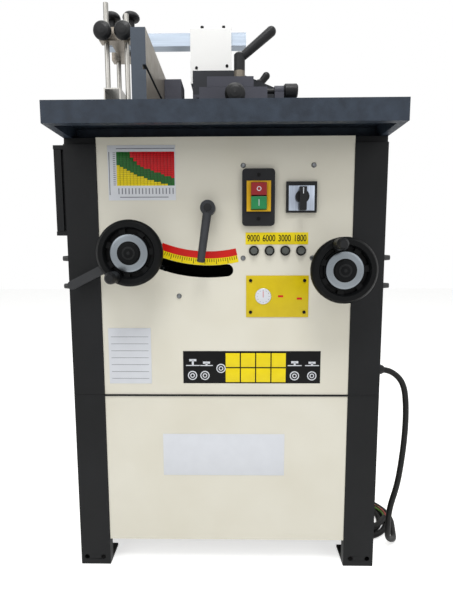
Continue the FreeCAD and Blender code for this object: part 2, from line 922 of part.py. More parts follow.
def height_drive():
    """The height wheel's shaft and the screw that it turns through a bevel pair on the cradle."""
    apex = Vector(height_x.value, spindle_y.value, height_z.value)
    shaft_front = front - d.wheel_standoff - d.wheel_rim_width + 3
    inner_end = spindle_y - d.bevel_pitch + d.bevel_face / 2
    shaft = rod((height_x, shaft_front, height_z), "+Y", inner_end - shaft_front, d.shaft_radius)
    half_tooth = 180 / d.bevel_teeth.value
    node("height_shaft", fuse(shaft, bevel(0, apex, TURNS["+Y"])))
    foot = tie_top - d.tie_plate + 3
    screw = rod((height_x, spindle_y, foot), "+Z", screw_top + d.bevel_face / 2 - foot, d.shaft_radius)
    node("height_screw", fuse(screw, bevel(half_tooth, apex, TURNS["+Z"])))


def height_lock_lever():
    """A flat lever behind the height wheel, on the end of the cradle's sleeve."""
    angle = d.lock_lever_angle
    lever_y = panel_y - d.wheel_hub_gap + d.panel_recess + 4
    reach = d.lock_lever_length
    half = d.lock_lever_width / 2
    arm = doc.addObject("Part::Box", "Arm")
    bind(arm, "Length", reach)
    bind(arm, "Width", d.lock_lever_sheet)
    bind(arm, "Height", d.lock_lever_width)
    swing = Rotation(Vector(0, 1, 0), 180 - number(angle))
    offset = swing.multVec(Vector(0, 0, -number(half)))
    place(arm, (height_x + offset.x, lever_y, height_z + offset.z), swing)
    tip = rod((height_x - reach * cosine(angle), lever_y, height_z - reach * sine(angle)), "+Y",
              d.lock_lever_sheet, half)
    hub = rod((height_x, lever_y, height_z), "+Y", d.lock_lever_sheet + 4, d.sleeve_radius + 5)
    bore = rod((height_x, lever_y - 1, height_z), "+Y", d.lock_lever_sheet + 20,
               d.sleeve_radius + d.running_fit)
    node("height_lock_lever", cut(fuse(arm, tip, hub), bore))


def tilt_drive():
    """The tilt wheel's shaft with its pinion, in a sleeve on the front panel."""
    shaft_front = front - d.wheel_standoff - d.wheel_rim_width + 3
    pinion_near = sector_near - 1
    shaft_end = pinion_near + d.sector_width + 1
    shaft = rod((tilt_x, shaft_front, tilt_z), "+Y", shaft_end - shaft_front, d.shaft_radius)
    module = d.gear_module.value
    teeth = round(2 * d.pinion_pitch.value / module)
    mesh = 180 + d.tilt_wheel_angle.value
    blank = gear_blank(gear_points(d.pinion_pitch.value, module, teeth, mesh, teeth),
                       d.sector_width.value + 1)
    blank.Placement = FreeCAD.Placement(
        Vector(tilt_x.value, shaft_end.value, tilt_z.value), DOWNWARD)
    node("tilt_shaft", fuse(shaft, shaped(blank)))
    sleeve_start = panel_y + d.sheet
    sleeve = fuse(rod((tilt_x, sleeve_start, tilt_z), "+Y", d.tilt_sleeve_length, d.tilt_sleeve_radius),
                  rod((tilt_x, sleeve_start, tilt_z), "+Y", 6, d.tilt_sleeve_radius + 8))
    node("tilt_sleeve", cut(sleeve, rod((tilt_x, sleeve_start - 1, tilt_z), "+Y", d.tilt_sleeve_length + 2,
                                        d.shaft_radius + d.running_fit)))


def tilt_clamp_lever():
    """The clamp lever above the slot: a hub with a stud through the panel and a hanging arm."""
    near = panel_y - 26
    hub = rod((spindle_x, panel_y - d.slide_fit, d.clamp_height), "-Y", 24, d.clamp_hub)
    stud = rod((spindle_x, near, d.clamp_height), "+Y", 60, d.clamp_arm_radius - 1 - d.running_fit)
    arm = cone((spindle_x, panel_y - 15, d.clamp_height), "-Z", d.clamp_arm, d.clamp_arm_radius + 1.5,
               d.clamp_arm_radius)
    lean = Rotation(Vector(1, 0, 0), -14) * Rotation(Vector(0, 1, 0), 7)
    arm.Placement = FreeCAD.Placement(arm.Placement.Base, lean * TURNS["-Z"])
    for axis, v in zip("xyz", (spindle_x, panel_y - 15, d.clamp_height)):
        arm.setExpression(f"Placement.Base.{axis}", v.formula)
    node("tilt_clamp_lever", fuse(hub, stud, arm))


carriage_low = d.carriage_top - d.carriage_plate
motor_x = spindle_x - d.motor_left
motor_y = back - d.motor_wall - d.motor_radius


def carriage_plate():
    """The plate that slides on the cradle's columns and carries the spindle and the motor."""
    fit = d.running_fit
    near_part = box((height_x - d.bush_radius, spindle_y - d.column_spacing - d.bush_radius, carriage_low),
                    (spindle_x + d.housing_radius + 12, spindle_y + d.column_spacing + d.bush_radius,
                     d.carriage_top))
    rear_part = box((motor_x - d.motor_radius - 2, spindle_y, carriage_low),
                    (motor_x + d.motor_radius + 2, motor_y + d.motor_radius, d.carriage_top))
    bushes = []
    holes = [
        rod((spindle_x, spindle_y, carriage_low - 1), "+Z", d.carriage_plate + 2, d.spindle_radius + 6),
        rod((motor_x, motor_y, carriage_low - 1), "+Z", d.carriage_plate + 2, d.motor_shaft + 6),
    ]
    for x, y, radius in (
        (column_x, spindle_y - d.column_spacing, d.column_radius),
        (column_x, spindle_y + d.column_spacing, d.column_radius),
        (height_x, spindle_y, d.shaft_radius),
    ):
        bushes.append(rod((x, y, carriage_low), "-Z", d.bush_length, radius + 7))
        holes.append(rod((x, y, carriage_low - d.bush_length - 1), "+Z",
                         d.bush_length + d.carriage_plate + 2,
                         radius + fit))
    node("carriage_plate", cut(fuse(near_part, rear_part, *bushes), *holes))


def spindle_housing():
    top = d.carriage_top + d.housing_height
    shell = rod((spindle_x, spindle_y, d.carriage_top), "+Z", d.housing_height, d.housing_radius)
    seats = [
        rod((spindle_x, spindle_y, d.carriage_top - 1), "+Z", d.housing_height + 2, d.bearing_outer - 5),
        rod((spindle_x, spindle_y, d.carriage_top - 1), "+Z", d.bearing_width + 1, d.bearing_outer),
        rod((spindle_x, spindle_y, top - d.bearing_width), "+Z", d.bearing_width + 1, d.bearing_outer),
    ]
    node("spindle_housing", cut(shell, *seats))
    bearings = []
    for low in (d.carriage_top, top - d.bearing_width):
        bearings.append(tube((spindle_x, spindle_y, low), "+Z", d.bearing_width, d.bearing_outer,
                             d.spindle_radius + d.running_fit))
    node("spindle_bearings", group(*bearings))


spindle_foot = carriage_low - 4 * d.pulley_step - 10
shoulder_z = table_top - 32
arbor_z = table_top + d.arbor_top


def spindle():
    """The spindle with its shoulder and arbor, the spacer rings and nut on it, and its pulley."""
    low = d.carriage_top
    body = turned((spindle_x, spindle_y, 0), "+Z", [
        (0, spindle_foot),
        (d.motor_shaft, spindle_foot),
        (d.motor_shaft, carriage_low - 3),
        (d.spindle_radius, carriage_low - 3),
        (d.spindle_radius, low + d.housing_height),
        (d.spacer_radius, low + d.housing_height + 3),
        (d.spacer_radius, shoulder_z),
        (d.arbor_radius, shoulder_z),
        (d.arbor_radius, arbor_z),
        (0, arbor_z),
    ])
    node("spindle", body)
    rings = []
    heights = [20, 30, 20, 30]
    z = shoulder_z
    for height in heights:
        rings.append(tube((spindle_x, spindle_y, z), "+Z", height - 0.5, d.spacer_radius - 1,
                          d.arbor_radius + d.running_fit))
        z = z + height
    rings.append(tube((spindle_x, spindle_y, z), "+Z", arbor_z - z - 3, d.spacer_radius - 4,
                      d.arbor_radius + d.running_fit))
    node("arbor_rings", group(*rings))


# Belt pitch radii on the motor's side, top step first. Each pair of steps has the same sum.
MOTOR_STEPS = (38.6, 51.2, 67.7, 75.9)
BELT_STEP = 2


def pulley_profile(bore, low, radii):
    """Half profile of a step pulley whose first radius is the top step."""
    points = [(bore, low)]
    z = low
    groove = (d.pulley_step - d.belt_height - 1) / 2
    for radius in reversed(radii):
        rim = radius + d.pulley_rim
        root = radius - d.belt_half_width - 0.6
        top = z + d.pulley_step
        points += [(rim, z), (rim, z + groove), (root, z + groove), (root, top - groove),
                   (rim, top - groove),
                   (rim, top)]
        z = top
    points.append((bore, z))
    return points


pulley_low = carriage_low - 4 * d.pulley_step - 6


def drive():
    """Both step pulleys, the motor and its shaft, and the belt on the second step from below."""
    spindle_steps = [d.pulley_sum - r for r in MOTOR_STEPS]
    node("spindle_pulley", turned((spindle_x, spindle_y, 0), "+Z",
                                  pulley_profile(d.motor_shaft, pulley_low, spindle_steps)))
    shaft_top = d.carriage_top + 120
    wheel = turned((motor_x, motor_y, 0), "+Z",
                   pulley_profile(d.motor_shaft, pulley_low, [Size.of(r) for r in MOTOR_STEPS]))
    shaft = rod((motor_x, motor_y, pulley_low - 4), "+Z", shaft_top - pulley_low + 4, d.motor_shaft)
    node("motor_pulley", fuse(wheel, shaft))
    body = turned((motor_x, motor_y, d.carriage_top), "+Z", [
        (0, 122),
        (d.motor_shaft + d.running_fit, 122),
        (d.motor_shaft + d.running_fit, 0),
        (d.motor_radius - 5, 0),
        (d.motor_radius - 5, 14),
        (d.motor_radius, 18),
        (d.motor_radius, d.motor_height - 48),
        (d.motor_radius - 6, d.motor_height - 44),
        (d.motor_radius - 6, d.motor_height - 10),
        (d.motor_radius - 18, d.motor_height),
        (0, d.motor_height),
    ])
    terminal = box((motor_x - d.motor_radius - 24, motor_y - 35, d.carriage_top + 60),
                   (motor_x - d.motor_radius + 12, motor_y + 35, d.carriage_top + 140))
    node("motor", fuse(body, terminal))
    belt_low = pulley_low + (len(MOTOR_STEPS) - 1 - BELT_STEP) * d.pulley_step
    belt_low = belt_low + 0.5 * (d.pulley_step - d.belt_height)
    shapes = []
    for grow in (d.belt_half_width.value, -d.belt_half_width.value):
        motor_r = MOTOR_STEPS[BELT_STEP] + grow
        spindle_r = spindle_steps[BELT_STEP].value + grow
        shapes.append(loop_face(motor_r, spindle_r).extrude(Vector(0, 0, d.belt_height.value)))
    belt = shapes[0].cut(shapes[1])
    belt.translate(Vector(0, 0, belt_low.value))
    node("drive_belt", shaped(belt))


def loop_face(motor_r, spindle_r):
    """The area inside an open belt line round two circles."""
    start = Vector(spindle_x.value, spindle_y.value, 0)
    end = Vector(motor_x.value, motor_y.value, 0)
    line = end - start
    base = math.atan2(line.y, line.x)
    lean = math.acos((spindle_r - motor_r) / line.Length)

    def at(centre, radius, angle):
        return centre + Vector(radius * math.cos(angle), radius * math.sin(angle), 0)

    one = base + lean
    two = base - lean
    edges = [
        Part.LineSegment(at(start, spindle_r, two), at(end, motor_r, two)).toShape(),
        Part.Arc(at(end, motor_r, two), at(end, motor_r, base), at(end, motor_r, one)).toShape(),
        Part.LineSegment(at(end, motor_r, one), at(start, spindle_r, one)).toShape(),
        Part.Arc(at(start, spindle_r, one), at(start, spindle_r, base + math.pi),
                 at(start, spindle_r, two)).toShape(),
    ]
    return Part.Face(Part.Wire(edges))


def rounded(x_low, x_high, near, deep, z_low, z_high, radius):
    """Pieces of a plate in the XZ plane with rounded corners."""
    far = near + deep
    pieces = [
        box((x_low + radius, near, z_low), (x_high - radius, far, z_high)),
        box((x_low, near, z_low + radius), (x_high, far, z_high - radius)),
    ]
    for x in (x_low + radius, x_high - radius):
        for z in (z_low + radius, z_high - radius):
            pieces.append(rod((x, near, z), "+Y", deep, radius))
    return pieces


def switches():
    """The push-button switch, the selector switch and the row of lamps."""
    x_low, z_low, x_high, z_high = switch_body_corners()
    plate_left = middle + d.switch_left
    near = panel_y - d.switch_depth
    bezel_near = near - d.bezel_depth
    deep = panel_y + d.switch_body
    unit = fuse(
        *rounded(plate_left, plate_left + d.switch_width, near, d.switch_depth, d.switch_bottom,
                 d.switch_bottom + d.switch_height, d.switch_corner),
        box((x_low, bezel_near, z_low), (x_high, near + 1, z_high)),
        box((x_low + d.slide_fit, panel_y - 1, z_low + d.slide_fit),
            (x_high - d.slide_fit, deep, z_high - d.slide_fit)),
    )
    centre = (x_low + x_high) / 2
    wells = []
    for name, low in (("start_button", z_low + d.button_gap),
                      ("stop_button", z_high - d.button_gap - d.button_height)):
        half = d.button_width / 2
        fit = d.slide_fit
        floor = panel_y + 6
        wells.append(box((centre - half - fit, bezel_near - 1, low - fit), (centre + half + fit, floor,
                                                                         low + d.button_height + fit)))
        node(name, box((centre - half, bezel_near - d.button_proud, low),
                       (centre + half, floor - 5, low + d.button_height)))
    node("switch_plate", cut(unit, *wells))
    x = middle + d.selector_x
    half = d.selector_side / 2
    body = selector_body - d.slide_fit
    plate_near = panel_y - d.selector_depth
    plate = fuse(
        box((x - half, plate_near, d.selector_z - half), (x + half, panel_y, d.selector_z + half)),
        box((x - body, panel_y - 1, d.selector_z - body), (x + body, deep, d.selector_z + body)),
    )
    stem = d.clamp_arm_radius - 2
    node("selector_plate",
         cut(plate, rod((x, plate_near - 1, d.selector_z), "+Y", 20, stem + d.running_fit)))
    knob_near = plate_near - d.slide_fit - d.selector_knob_depth
    knob = fuse(
        rod((x, plate_near - d.slide_fit - 12, d.selector_z), "+Y", 12, d.selector_knob_radius),
        box((x - d.selector_knob_width / 2, knob_near, d.selector_z - d.selector_knob_height * 0.6),
            (x + d.selector_knob_width / 2, plate_near - d.slide_fit - 5,
             d.selector_z + d.selector_knob_height * 0.4)),
        rod((x, plate_near - 6, d.selector_z), "+Y", 20, stem),
    )
    node("selector_knob", knob)
    lamps = []
    for i in range(4):
        at = (lamp_x(i), panel_y, d.lamp_z)
        lamps.append(fuse(
            rod(at, "-Y", 3, d.lamp_radius),
            cone((lamp_x(i), panel_y - 2, d.lamp_z), "-Y", 7, d.lamp_radius - 1.5, d.lamp_radius - 3),
            rod((lamp_x(i), panel_y - 1, d.lamp_z), "+Y", 26, d.lamp_body),
        ))
    node("speed_lamps", group(*lamps))


def belt_door():
    """A shallow folded pan that covers the belt opening, on two pins at its front edge."""
    near = door_hinge_y - d.door_pin - 3
    far = near + d.door_width
    outer = left - d.door_proud
    low = d.door_bottom
    high = low + d.door_height
    skin = d.door_sheet
    seat = left - d.slide_fit
    shell = cut(
        box((outer, near, low), (seat, far, high)),
        box((outer + skin, near + 4 * d.door_pin + skin, low + skin), (seat + 1, far - skin, high - skin)),
    )
    pins = [
        rod((door_hinge_x, door_hinge_y, low + 1), "-Z", ear_height + 1, d.door_pin),
        rod((door_hinge_x, door_hinge_y, high - 1), "+Z", ear_height + 1, d.door_pin),
    ]
    relief = box((outer - 1, near - 1, low - 1), (outer + 3, near + 3, high + 1))
    swing_relief = box((door_hinge_x + 4, near - 1, low - 1), (left + 1, near + 5, high + 1))
    knob_y = far - 28
    knob_z = (low + high) / 2
    hole = rod((outer - 1, knob_y, knob_z), "+X", skin + 2, d.door_pin + d.running_fit)
    node("belt_door", cut(fuse(shell, *pins), relief, swing_relief, hole))
    catch = box((outer + skin + 1, knob_y - 5, knob_z - 5), (outer + skin + 5, knob_y + 20, knob_z + 5))
    knob = fuse(
        turned((outer - d.slide_fit, knob_y, knob_z), "-X", [
            (0, 0),
            (d.door_knob_radius - 6, 0),
            (d.door_knob_radius, 5),
            (d.door_knob_radius, d.door_knob_depth - 3),
            (d.door_knob_radius - 3, d.door_knob_depth - d.slide_fit),
            (0, d.door_knob_depth - d.slide_fit),
        ]),
        rod((outer - 1, knob_y, knob_z), "+X", skin + 4, d.door_pin),
        catch,
    )
    node("door_knob", knob)


wing_top = table_top + d.wing_height
fence_low = table_top + d.slide_fit
wing_near = (wing_front, wing_back - d.wing_width)


def fence_plate_corners(start):
    x_low = middle - d.fence_face
    return (x_low, start, table_top + 2 * d.slide_fit), (x_low + d.fence_thickness, start + d.fence_length,
                                                   table_top + d.fence_height)


lug_x = middle - d.fence_face + d.fence_thickness + d.lug_left_gap
infeed_lug = (wing_front + d.lug_setback, wing_front + d.lug_setback + d.lug_depth)
outfeed_lug = (wing_back - d.lug_setback - d.lug_depth, wing_back - d.lug_setback)


def lug(near, far):
    """The bracket behind a fence plate, with a key in the plate's groove."""
    key_z = table_top + d.fence_groove_height
    half = d.fence_groove / 2 - d.slide_fit
    return [
        box((lug_x, near, fence_low + 2), (lug_x + d.lug_width, far, table_top + d.lug_height)),
        box((lug_x - d.lug_left_gap - d.fence_groove_depth + 2 * d.slide_fit, near + 4, key_z - half),
            (lug_x + 1, far - 4, key_z + half)),
    ]


def fence_base():
    """The fence casting: two wings and a bridge round the cutter, bolts into the table's slots."""
    x_low = middle - d.wing_left
    x_high = middle + d.wing_right
    pieces = []
    for near, bolt_y in zip(wing_near, fence_bolt_y):
        pieces.append(box((x_low, near, fence_low), (x_high, near + d.wing_width, wing_top)))
        pieces.append(rod((fence_bolt_x, bolt_y, fence_low + 1), "-Z", d.table_plate + 6,
                          d.fence_slot_width / 2 - 1))
        pieces.append(rod((fence_bolt_x, bolt_y, plate_z - d.slide_fit), "-Z", 8, d.fence_slot_width))
    pieces.append(box((x_high - 1, wing_near[0], fence_low),
                      (middle + d.bridge_right, wing_near[1] + d.wing_width, fence_low + d.bridge_height)))
    boss_left = middle + d.adjuster_boss
    boss_z = table_top + d.adjuster_height
    pieces.append(box((boss_left, slide_mid - 10, fence_low),
                      (boss_left + d.adjuster_boss_width, slide_mid + 10, boss_z)))
    pieces.append(rod((boss_left, slide_mid, boss_z), "+X", d.adjuster_boss_width, d.adjuster_boss_radius))
    corner_y = wing_front + d.corner_near
    pieces.append(box((middle - d.corner_left, corner_y, fence_low),
                      (x_low + 1, corner_y + d.corner_depth, table_top + d.corner_height)))
    near, far = outfeed_lug
    pieces += lug(near, far)
    pieces.append(box((lug_x + d.lug_width - 1, near, wing_top - 30),
                      (x_low + 1, far - 10, wing_top + d.arm_height)))
    screw_hole = rod((boss_left - 1, slide_mid, boss_z), "+X", d.adjuster_boss_width + 2,
                     d.adjuster_screw + d.running_fit)
    key_way = box((x_low - 1, slide_mid - 12, wing_top - 8), (x_high + 1, slide_mid + 12, wing_top + 1))
    ball_hole = rod((middle + d.ball_x, wing_near[0] - 1, table_top + d.ball_height), "+Y", 22,
                    d.knob_stem + d.running_fit)
    node("fence_base", cut(fuse(*pieces), screw_hole, key_way, ball_hole))


slide_near = wing_front
slide_mid = slide_near + d.slide_width / 2
slide_low = wing_top + d.slide_fit
slide_top = wing_top + d.slide_height


def infeed_slide():
    """The slide on the near wing that carries the infeed plate's lug, with a key in the wing."""
    x_low = middle - d.slide_left
    x_high = middle + d.slide_right
    near, far = infeed_lug
    block = box((x_low, slide_near, slide_low), (x_high, slide_near + d.slide_width, slide_top))
    slide_far = slide_near + d.slide_width
    link_near = slide_far - d.link_depth
    link_left = middle - d.corner_left
    arm = box((link_left, link_near, slide_low), (x_low + 1, slide_far, table_top + d.link_top))
    riser = box((link_left, link_near, table_top + d.link_low),
                (link_left + d.link_sheet, slide_far, table_top + d.link_top))
    link = box((lug_x + d.lug_width - 1, link_near, table_top + d.link_low),
               (link_left + 1, slide_far, table_top + d.link_low + d.link_height))
    key = box((x_low, slide_mid - 12 + d.slide_fit, wing_top - 8 + d.slide_fit),
              (x_high, slide_mid + 12 - d.slide_fit,
                                                                          slide_low + 1))
    screw_hole = rod((x_high - 28, slide_mid, table_top + d.adjuster_height), "+X", 29,
                     d.adjuster_screw + d.running_fit)
    stud_hole = rod((middle + d.lever_x, slide_mid, slide_top - 12), "+Z", 13, d.knob_stem + d.running_fit)
    node("infeed_slide", cut(fuse(block, arm, riser, link, key, *lug(near, far)), screw_hole, stud_hole))


def fence_plates():
    for name, start in (("infeed_plate", spindle_y - d.fence_gap - d.fence_length),
                        ("outfeed_plate", spindle_y + d.fence_gap)):
        low, high = fence_plate_corners(start)
        key_z = table_top + d.fence_groove_height
        groove = box((high[0] - d.fence_groove_depth, start - 1, key_z - d.fence_groove / 2),
                     (high[0] + 1, start + d.fence_length + 1, key_z + d.fence_groove / 2))
        node(name, cut(box(low, high), groove))


def mushroom(at, way, stem, drop):
    """A round clamp knob on a threaded stem that goes a little way into what it clamps."""
    return fuse(
        turned(at, way, [
            (0, stem),
            (d.knob_radius * 0.5, stem),
            (d.knob_radius * 0.88, stem + d.knob_height * 0.1),
            (d.knob_radius, stem + d.knob_height * 0.28),
            (d.knob_radius, stem + d.knob_height * 0.42),
            (d.knob_radius * 0.93, stem + d.knob_height * 0.62),
            (d.knob_radius * 0.76, stem + d.knob_height * 0.81),
            (d.knob_radius * 0.46, stem + d.knob_height * 0.95),
            (0, stem + d.knob_height),
        ]),
        turned(at, way, [(0, -drop), (d.knob_stem, -drop), (d.knob_stem, d.slide_fit),
                         (d.knob_neck, d.slide_fit),
                         (d.knob_neck, stem + 1), (0, stem + 1)]),
    )


def fence_controls():
    """The slide's clamp lever, its adjuster, the ball knob on the wing and the hood's lever."""
    node("slide_lever",
         clamp_lever(middle + d.lever_x, slide_mid, slide_top, d.lever_hub, d.lever_hub_height,
                                    d.lever_reach, d.lever_rise, 11))
    knob_x = middle + d.adjuster_boss + d.adjuster_boss_width
    knob_z = table_top + d.adjuster_height
    screw_start = middle + d.slide_right - 18
    adjuster = fuse(
        rod((screw_start, slide_mid, knob_z), "+X", knob_x + 4 - screw_start, d.adjuster_screw),
        turned((knob_x + d.slide_fit, slide_mid, knob_z), "+X", [
            (0, 0),
            (d.adjuster_knob_radius - 3, 0),
            (d.adjuster_knob_radius, 3),
            (d.adjuster_knob_radius, d.adjuster_knob - 3),
            (d.adjuster_knob_radius - 3, d.adjuster_knob),
            (0, d.adjuster_knob),
        ]),
    )
    node("slide_adjuster", adjuster)
    node("hood_lever", clamp_lever(hood_lever_x, hood_lever_y, hood_boss_top, d.hood_lever_hub,
                                   d.hood_lever_height, d.hood_lever_reach, d.hood_lever_rise, 8))
    node("ball_knob", mushroom((middle + d.ball_x, wing_near[0], table_top + d.ball_height), "-Y",
                               d.knob_height * 1.1, 18))


def clamp_lever(x, y, z, hub, height, reach, rise, drop):
    """A clamp lever on a vertical stud whose arm rises towards +X."""
    tilt = math.degrees(math.atan2(number(rise), number(reach)))
    length = math.hypot(number(rise), number(reach))
    arm = doc.addObject("Part::Cone", "LeverArm")
    arm.Radius1 = number(hub) * 0.75
    arm.Radius2 = number(hub) * 0.9
    arm.Height = length - arm.Radius2.Value
    swing = Rotation(Vector(0, 1, 0), 90 - tilt)
    place(arm, (x, y, z + height - hub), swing)
    share = arm.Height.Value / length
    tip = ball((x + reach * share, y, z + height - hub + rise * share), hub * 0.9)
    return fuse(
        turned((x, y, z + d.slide_fit), "+Z", [
            (0, 0),
            (hub * 1.05, 0),
            (hub * 0.85, 6),
            (hub, 10),
            (hub, height - 4),
            (hub * 0.7, height),
            (0, height),
        ]),
        turned((x, y, z), "+Z", [(0, -drop), (d.knob_stem, -drop), (d.knob_stem, 1), (0, 1)]),
        arm,
        tip,
    )


def hood_outline(grow):
    """The hood's section seen along Y, as large as its sheet or smaller by its thickness."""
    foot = fence_low + d.bridge_height
    top = table_top + d.hood_top
    return [
        (middle - d.hood_left - (1 if number(grow) else 0), foot - (1 if number(grow) else 0)),
        (middle - d.hood_left - (1 if number(grow) else 0), top - grow),
        (middle + d.hood_flat, top - grow),
        (middle + d.hood_shoulder - grow * 0.3, table_top + d.hood_shoulder_height - grow),
        (middle + d.hood_right - grow, table_top + d.hood_right_height - grow),
        (middle + d.hood_right - grow, foot - (1 if number(grow) else 0)),
    ]


hood_near = spindle_y - d.hood_half_depth
hood_lever_x = middle + 78
hood_lever_y = hood_near + 56
hood_boss_top = table_top + d.hood_top - 18


def dust_hood():
    """A folded hood over the cutter, open to the operator, with the outlet for chips."""
    deep = d.hood_half_depth * 2
    outer = prism(hood_outline(0), hood_near, deep)
    inner = prism(hood_outline(d.hood_sheet), hood_near + d.hood_sheet, deep - 2 * d.hood_sheet)
    outlet_z = fence_low + d.bridge_height + d.outlet_radius + 2
    out_x = middle + d.hood_right
    spout = rod((out_x - d.hood_sheet, spindle_y, outlet_z), "+X", d.outlet_length, d.outlet_radius)
    bore = rod((out_x - 2 * d.hood_sheet, spindle_y, outlet_z), "+X", d.outlet_length + 8,
               d.outlet_radius - d.hood_sheet)
    steps = []
    for near in wing_near:
        steps.append(box((middle - d.hood_left - 1, near - 1, fence_low),
                         (middle + d.wing_right + d.slide_fit, near + d.wing_width + d.slide_fit,
                          wing_top)))
    arm_gap = box((middle - d.hood_left - 1, outfeed_lug[0] - 2, fence_low),
                  (middle - d.wing_left + 2, hood_near +
                   2 * d.hood_half_depth + 1, wing_top + d.arm_height + 1))
    boss = rod((hood_lever_x, hood_lever_y, hood_boss_top), "-Z", 24, d.hood_lever_hub + 3)
    stud_hole = rod((hood_lever_x, hood_lever_y, hood_boss_top + 1), "-Z", 26, d.knob_stem + d.running_fit)
    node("dust_hood", cut(fuse(cut(outer, inner), spout, boss), bore, arm_gap, stud_hole, *steps))


def prism(points, start, deep):
    """A solid with an outline in the XZ plane, from a start along +Y."""
    body = doc.addObject("PartDesign::Body", "Section")
    sketch = outline(body, "XZ_Plane", points)
    doc.recompute()
    pad = body.newObject("PartDesign::Pad", "Depth")
    pad.Profile = sketch
    bind(pad, "Length", deep)
    pad.Reversed = True
    return place(body, (0, start, 0))


arm_low = table_top + d.arm_bottom
arm_top = arm_low + d.arm_side
hood_roof = table_top + d.hood_top


def guard():
    """The post on the hood, the arm that slides through it, the head on the arm and its two shoes."""
    x_low = middle - d.post_left
    x_high = middle + d.post_right
    near = spindle_y - d.guard_half_depth
    far = spindle_y + d.guard_half_depth
    skin = d.hood_sheet
    half = d.arm_side / 2
    fit = d.arm_fit
    shell = cut(
        box((x_low, near, hood_roof), (x_high, far, table_top + d.guard_top)),
        box((x_low + skin, near + skin, hood_roof - 1),
            (x_high - skin, far - skin, table_top + d.guard_top - skin)),
        box((x_low - 1, spindle_y - half - fit, arm_low - fit),
            (x_high + 1, spindle_y + half + fit, arm_top + fit)),
    )
    node("guard_post", shell)
    arm_x = middle - d.arm_left
    arm = box((arm_x, spindle_y - half, arm_low), (middle + d.arm_right, spindle_y + half, arm_top))
    node("guard_arm", arm)
    head_left = middle - d.top_rod_x - d.head_margin
    head_right = middle - d.side_rod_x + d.head_margin
    saddle = half + fit + d.head_plate
    top = arm_top + d.head_plate
    pieces = [box((head_left, spindle_y - saddle, arm_top), (head_right, spindle_y + saddle, top))]
    centre = (head_left + head_right) / 2
    span = d.rod_spacing + d.head_block / 2
    block_low = arm_low - fit - d.head_plate
    pieces.append(box((centre - half, spindle_y - span, block_low),
                      (centre + half, spindle_y + span, arm_low - fit)))
    bores = []
    for end in (-1, 1):
        y = spindle_y + end * d.rod_spacing
        pieces.append(box((head_left, y - d.head_block / 2, block_low), (head_right, y + d.head_block / 2,
                                                                 block_low + d.head_block_height)))
        cheek = spindle_y + end * (half + fit)
        pieces.append(box((centre - half, cheek, block_low),
                          (centre + half, cheek + end * d.head_plate, top)))
        for x in (d.top_rod_x, d.side_rod_x):
            bores.append(rod((middle - x, y, block_low - 1), "+Z", d.head_block_height + 2,
                             d.rod_radius + d.running_fit))
    for x in (d.top_rod_x, d.side_rod_x):
        bores.append(rod((middle - x, spindle_y, arm_top + 1), "+Z", d.head_plate,
                         d.knob_stem + d.running_fit))
    knob_z = table_top + d.head_knob_height
    for x in (d.top_rod_x, d.side_rod_x):
        bores.append(rod((middle - x, spindle_y - span - 1, knob_z), "+Y", 6, d.knob_stem + d.running_fit))
    node("hold_down_head", cut(fuse(*pieces), *bores))
    for name, x in (("top_shoe_knob", d.top_rod_x), ("side_shoe_knob", d.side_rod_x)):
        node(name, mushroom((middle - x, spindle_y - span, knob_z), "-Y", d.knob_height * 0.8, 4))
    for name, x in (("arm_knob_left", d.top_rod_x), ("arm_knob_right", d.side_rod_x)):
        node(name, mushroom((middle - x, spindle_y, top), "+Z", d.knob_height * 1.4, 6))
    shoes()


def shoes():
    """The top pressure shoe, an open channel, and the side shoe, a bar, each on two rods."""
    half = d.shoe_length / 2
    low = table_top + d.top_shoe_bottom
    high = low + d.top_shoe_height
    x_low = middle - d.top_rod_x - d.rod_radius - 1
    x_high = x_low + d.top_shoe_width
    skin = d.shoe_sheet
    channel = cut(
        box((x_low, spindle_y - half, low), (x_high, spindle_y + half, high)),
        box((x_low + skin, spindle_y - half - 1, low - 1),
            (x_high - skin, spindle_y + half + 1, high - skin)),
    )
    rods = []
    for end in (-1, 1):
        y = spindle_y + end * d.rod_spacing
        rods.append(rod((middle - d.top_rod_x, y, high - 1), "+Z", table_top + d.top_rod_top - high + 1,
                        d.rod_radius))
    node("top_shoe", fuse(channel, *rods))
    low = table_top + d.side_shoe_bottom
    high = low + d.side_shoe_height
    bar = box((middle - d.side_rod_x - d.side_shoe_width / 2, spindle_y - half, low),
              (middle - d.side_rod_x + d.side_shoe_width / 2, spindle_y + half, high))
    rods = []
    for end in (-1, 1):
        y = spindle_y + end * d.rod_spacing
        rods.append(rod((middle - d.side_rod_x, y, high - 1), "+Z", table_top + d.side_rod_top - high + 1,
                        d.rod_radius))
    node("side_shoe", fuse(bar, *rods))


def panel_screws():
    """Round-headed screws: four round the switches, one on the panel, four on each side."""
    screws = []
    corner_x = (middle + d.switch_left + 2, middle + d.selector_x + 23)
    corner_z = (d.switch_bottom + d.switch_height + 7, d.lamp_z - 14)
    spots = [(x, z) for x in corner_x for z in corner_z]
    spots.append((middle - 90, d.lamp_z - 87))
    for x, z in spots:
        screws.append(turned((x, panel_y, z), "-Y", [
            (0, 0),
            (d.screw_head, 0),
            (d.screw_head * 0.6, d.screw_head_height),
            (0, d.screw_head_height),
        ]))
    for way, x in (("-X", left), ("+X", right)):
        for y in (front + d.side_screw_inset, back - d.side_screw_inset):
            for z in (d.lamp_z - 14, d.lamp_z - 68):
                screws.append(turned((x, y, z), way, [
                    (0, 0),
                    (d.side_screw_head, 0),
                    (d.side_screw_head * 0.8, d.side_screw_height),
                    (0, d.side_screw_height),
                ]))
    node("panel_screws", group(*screws))


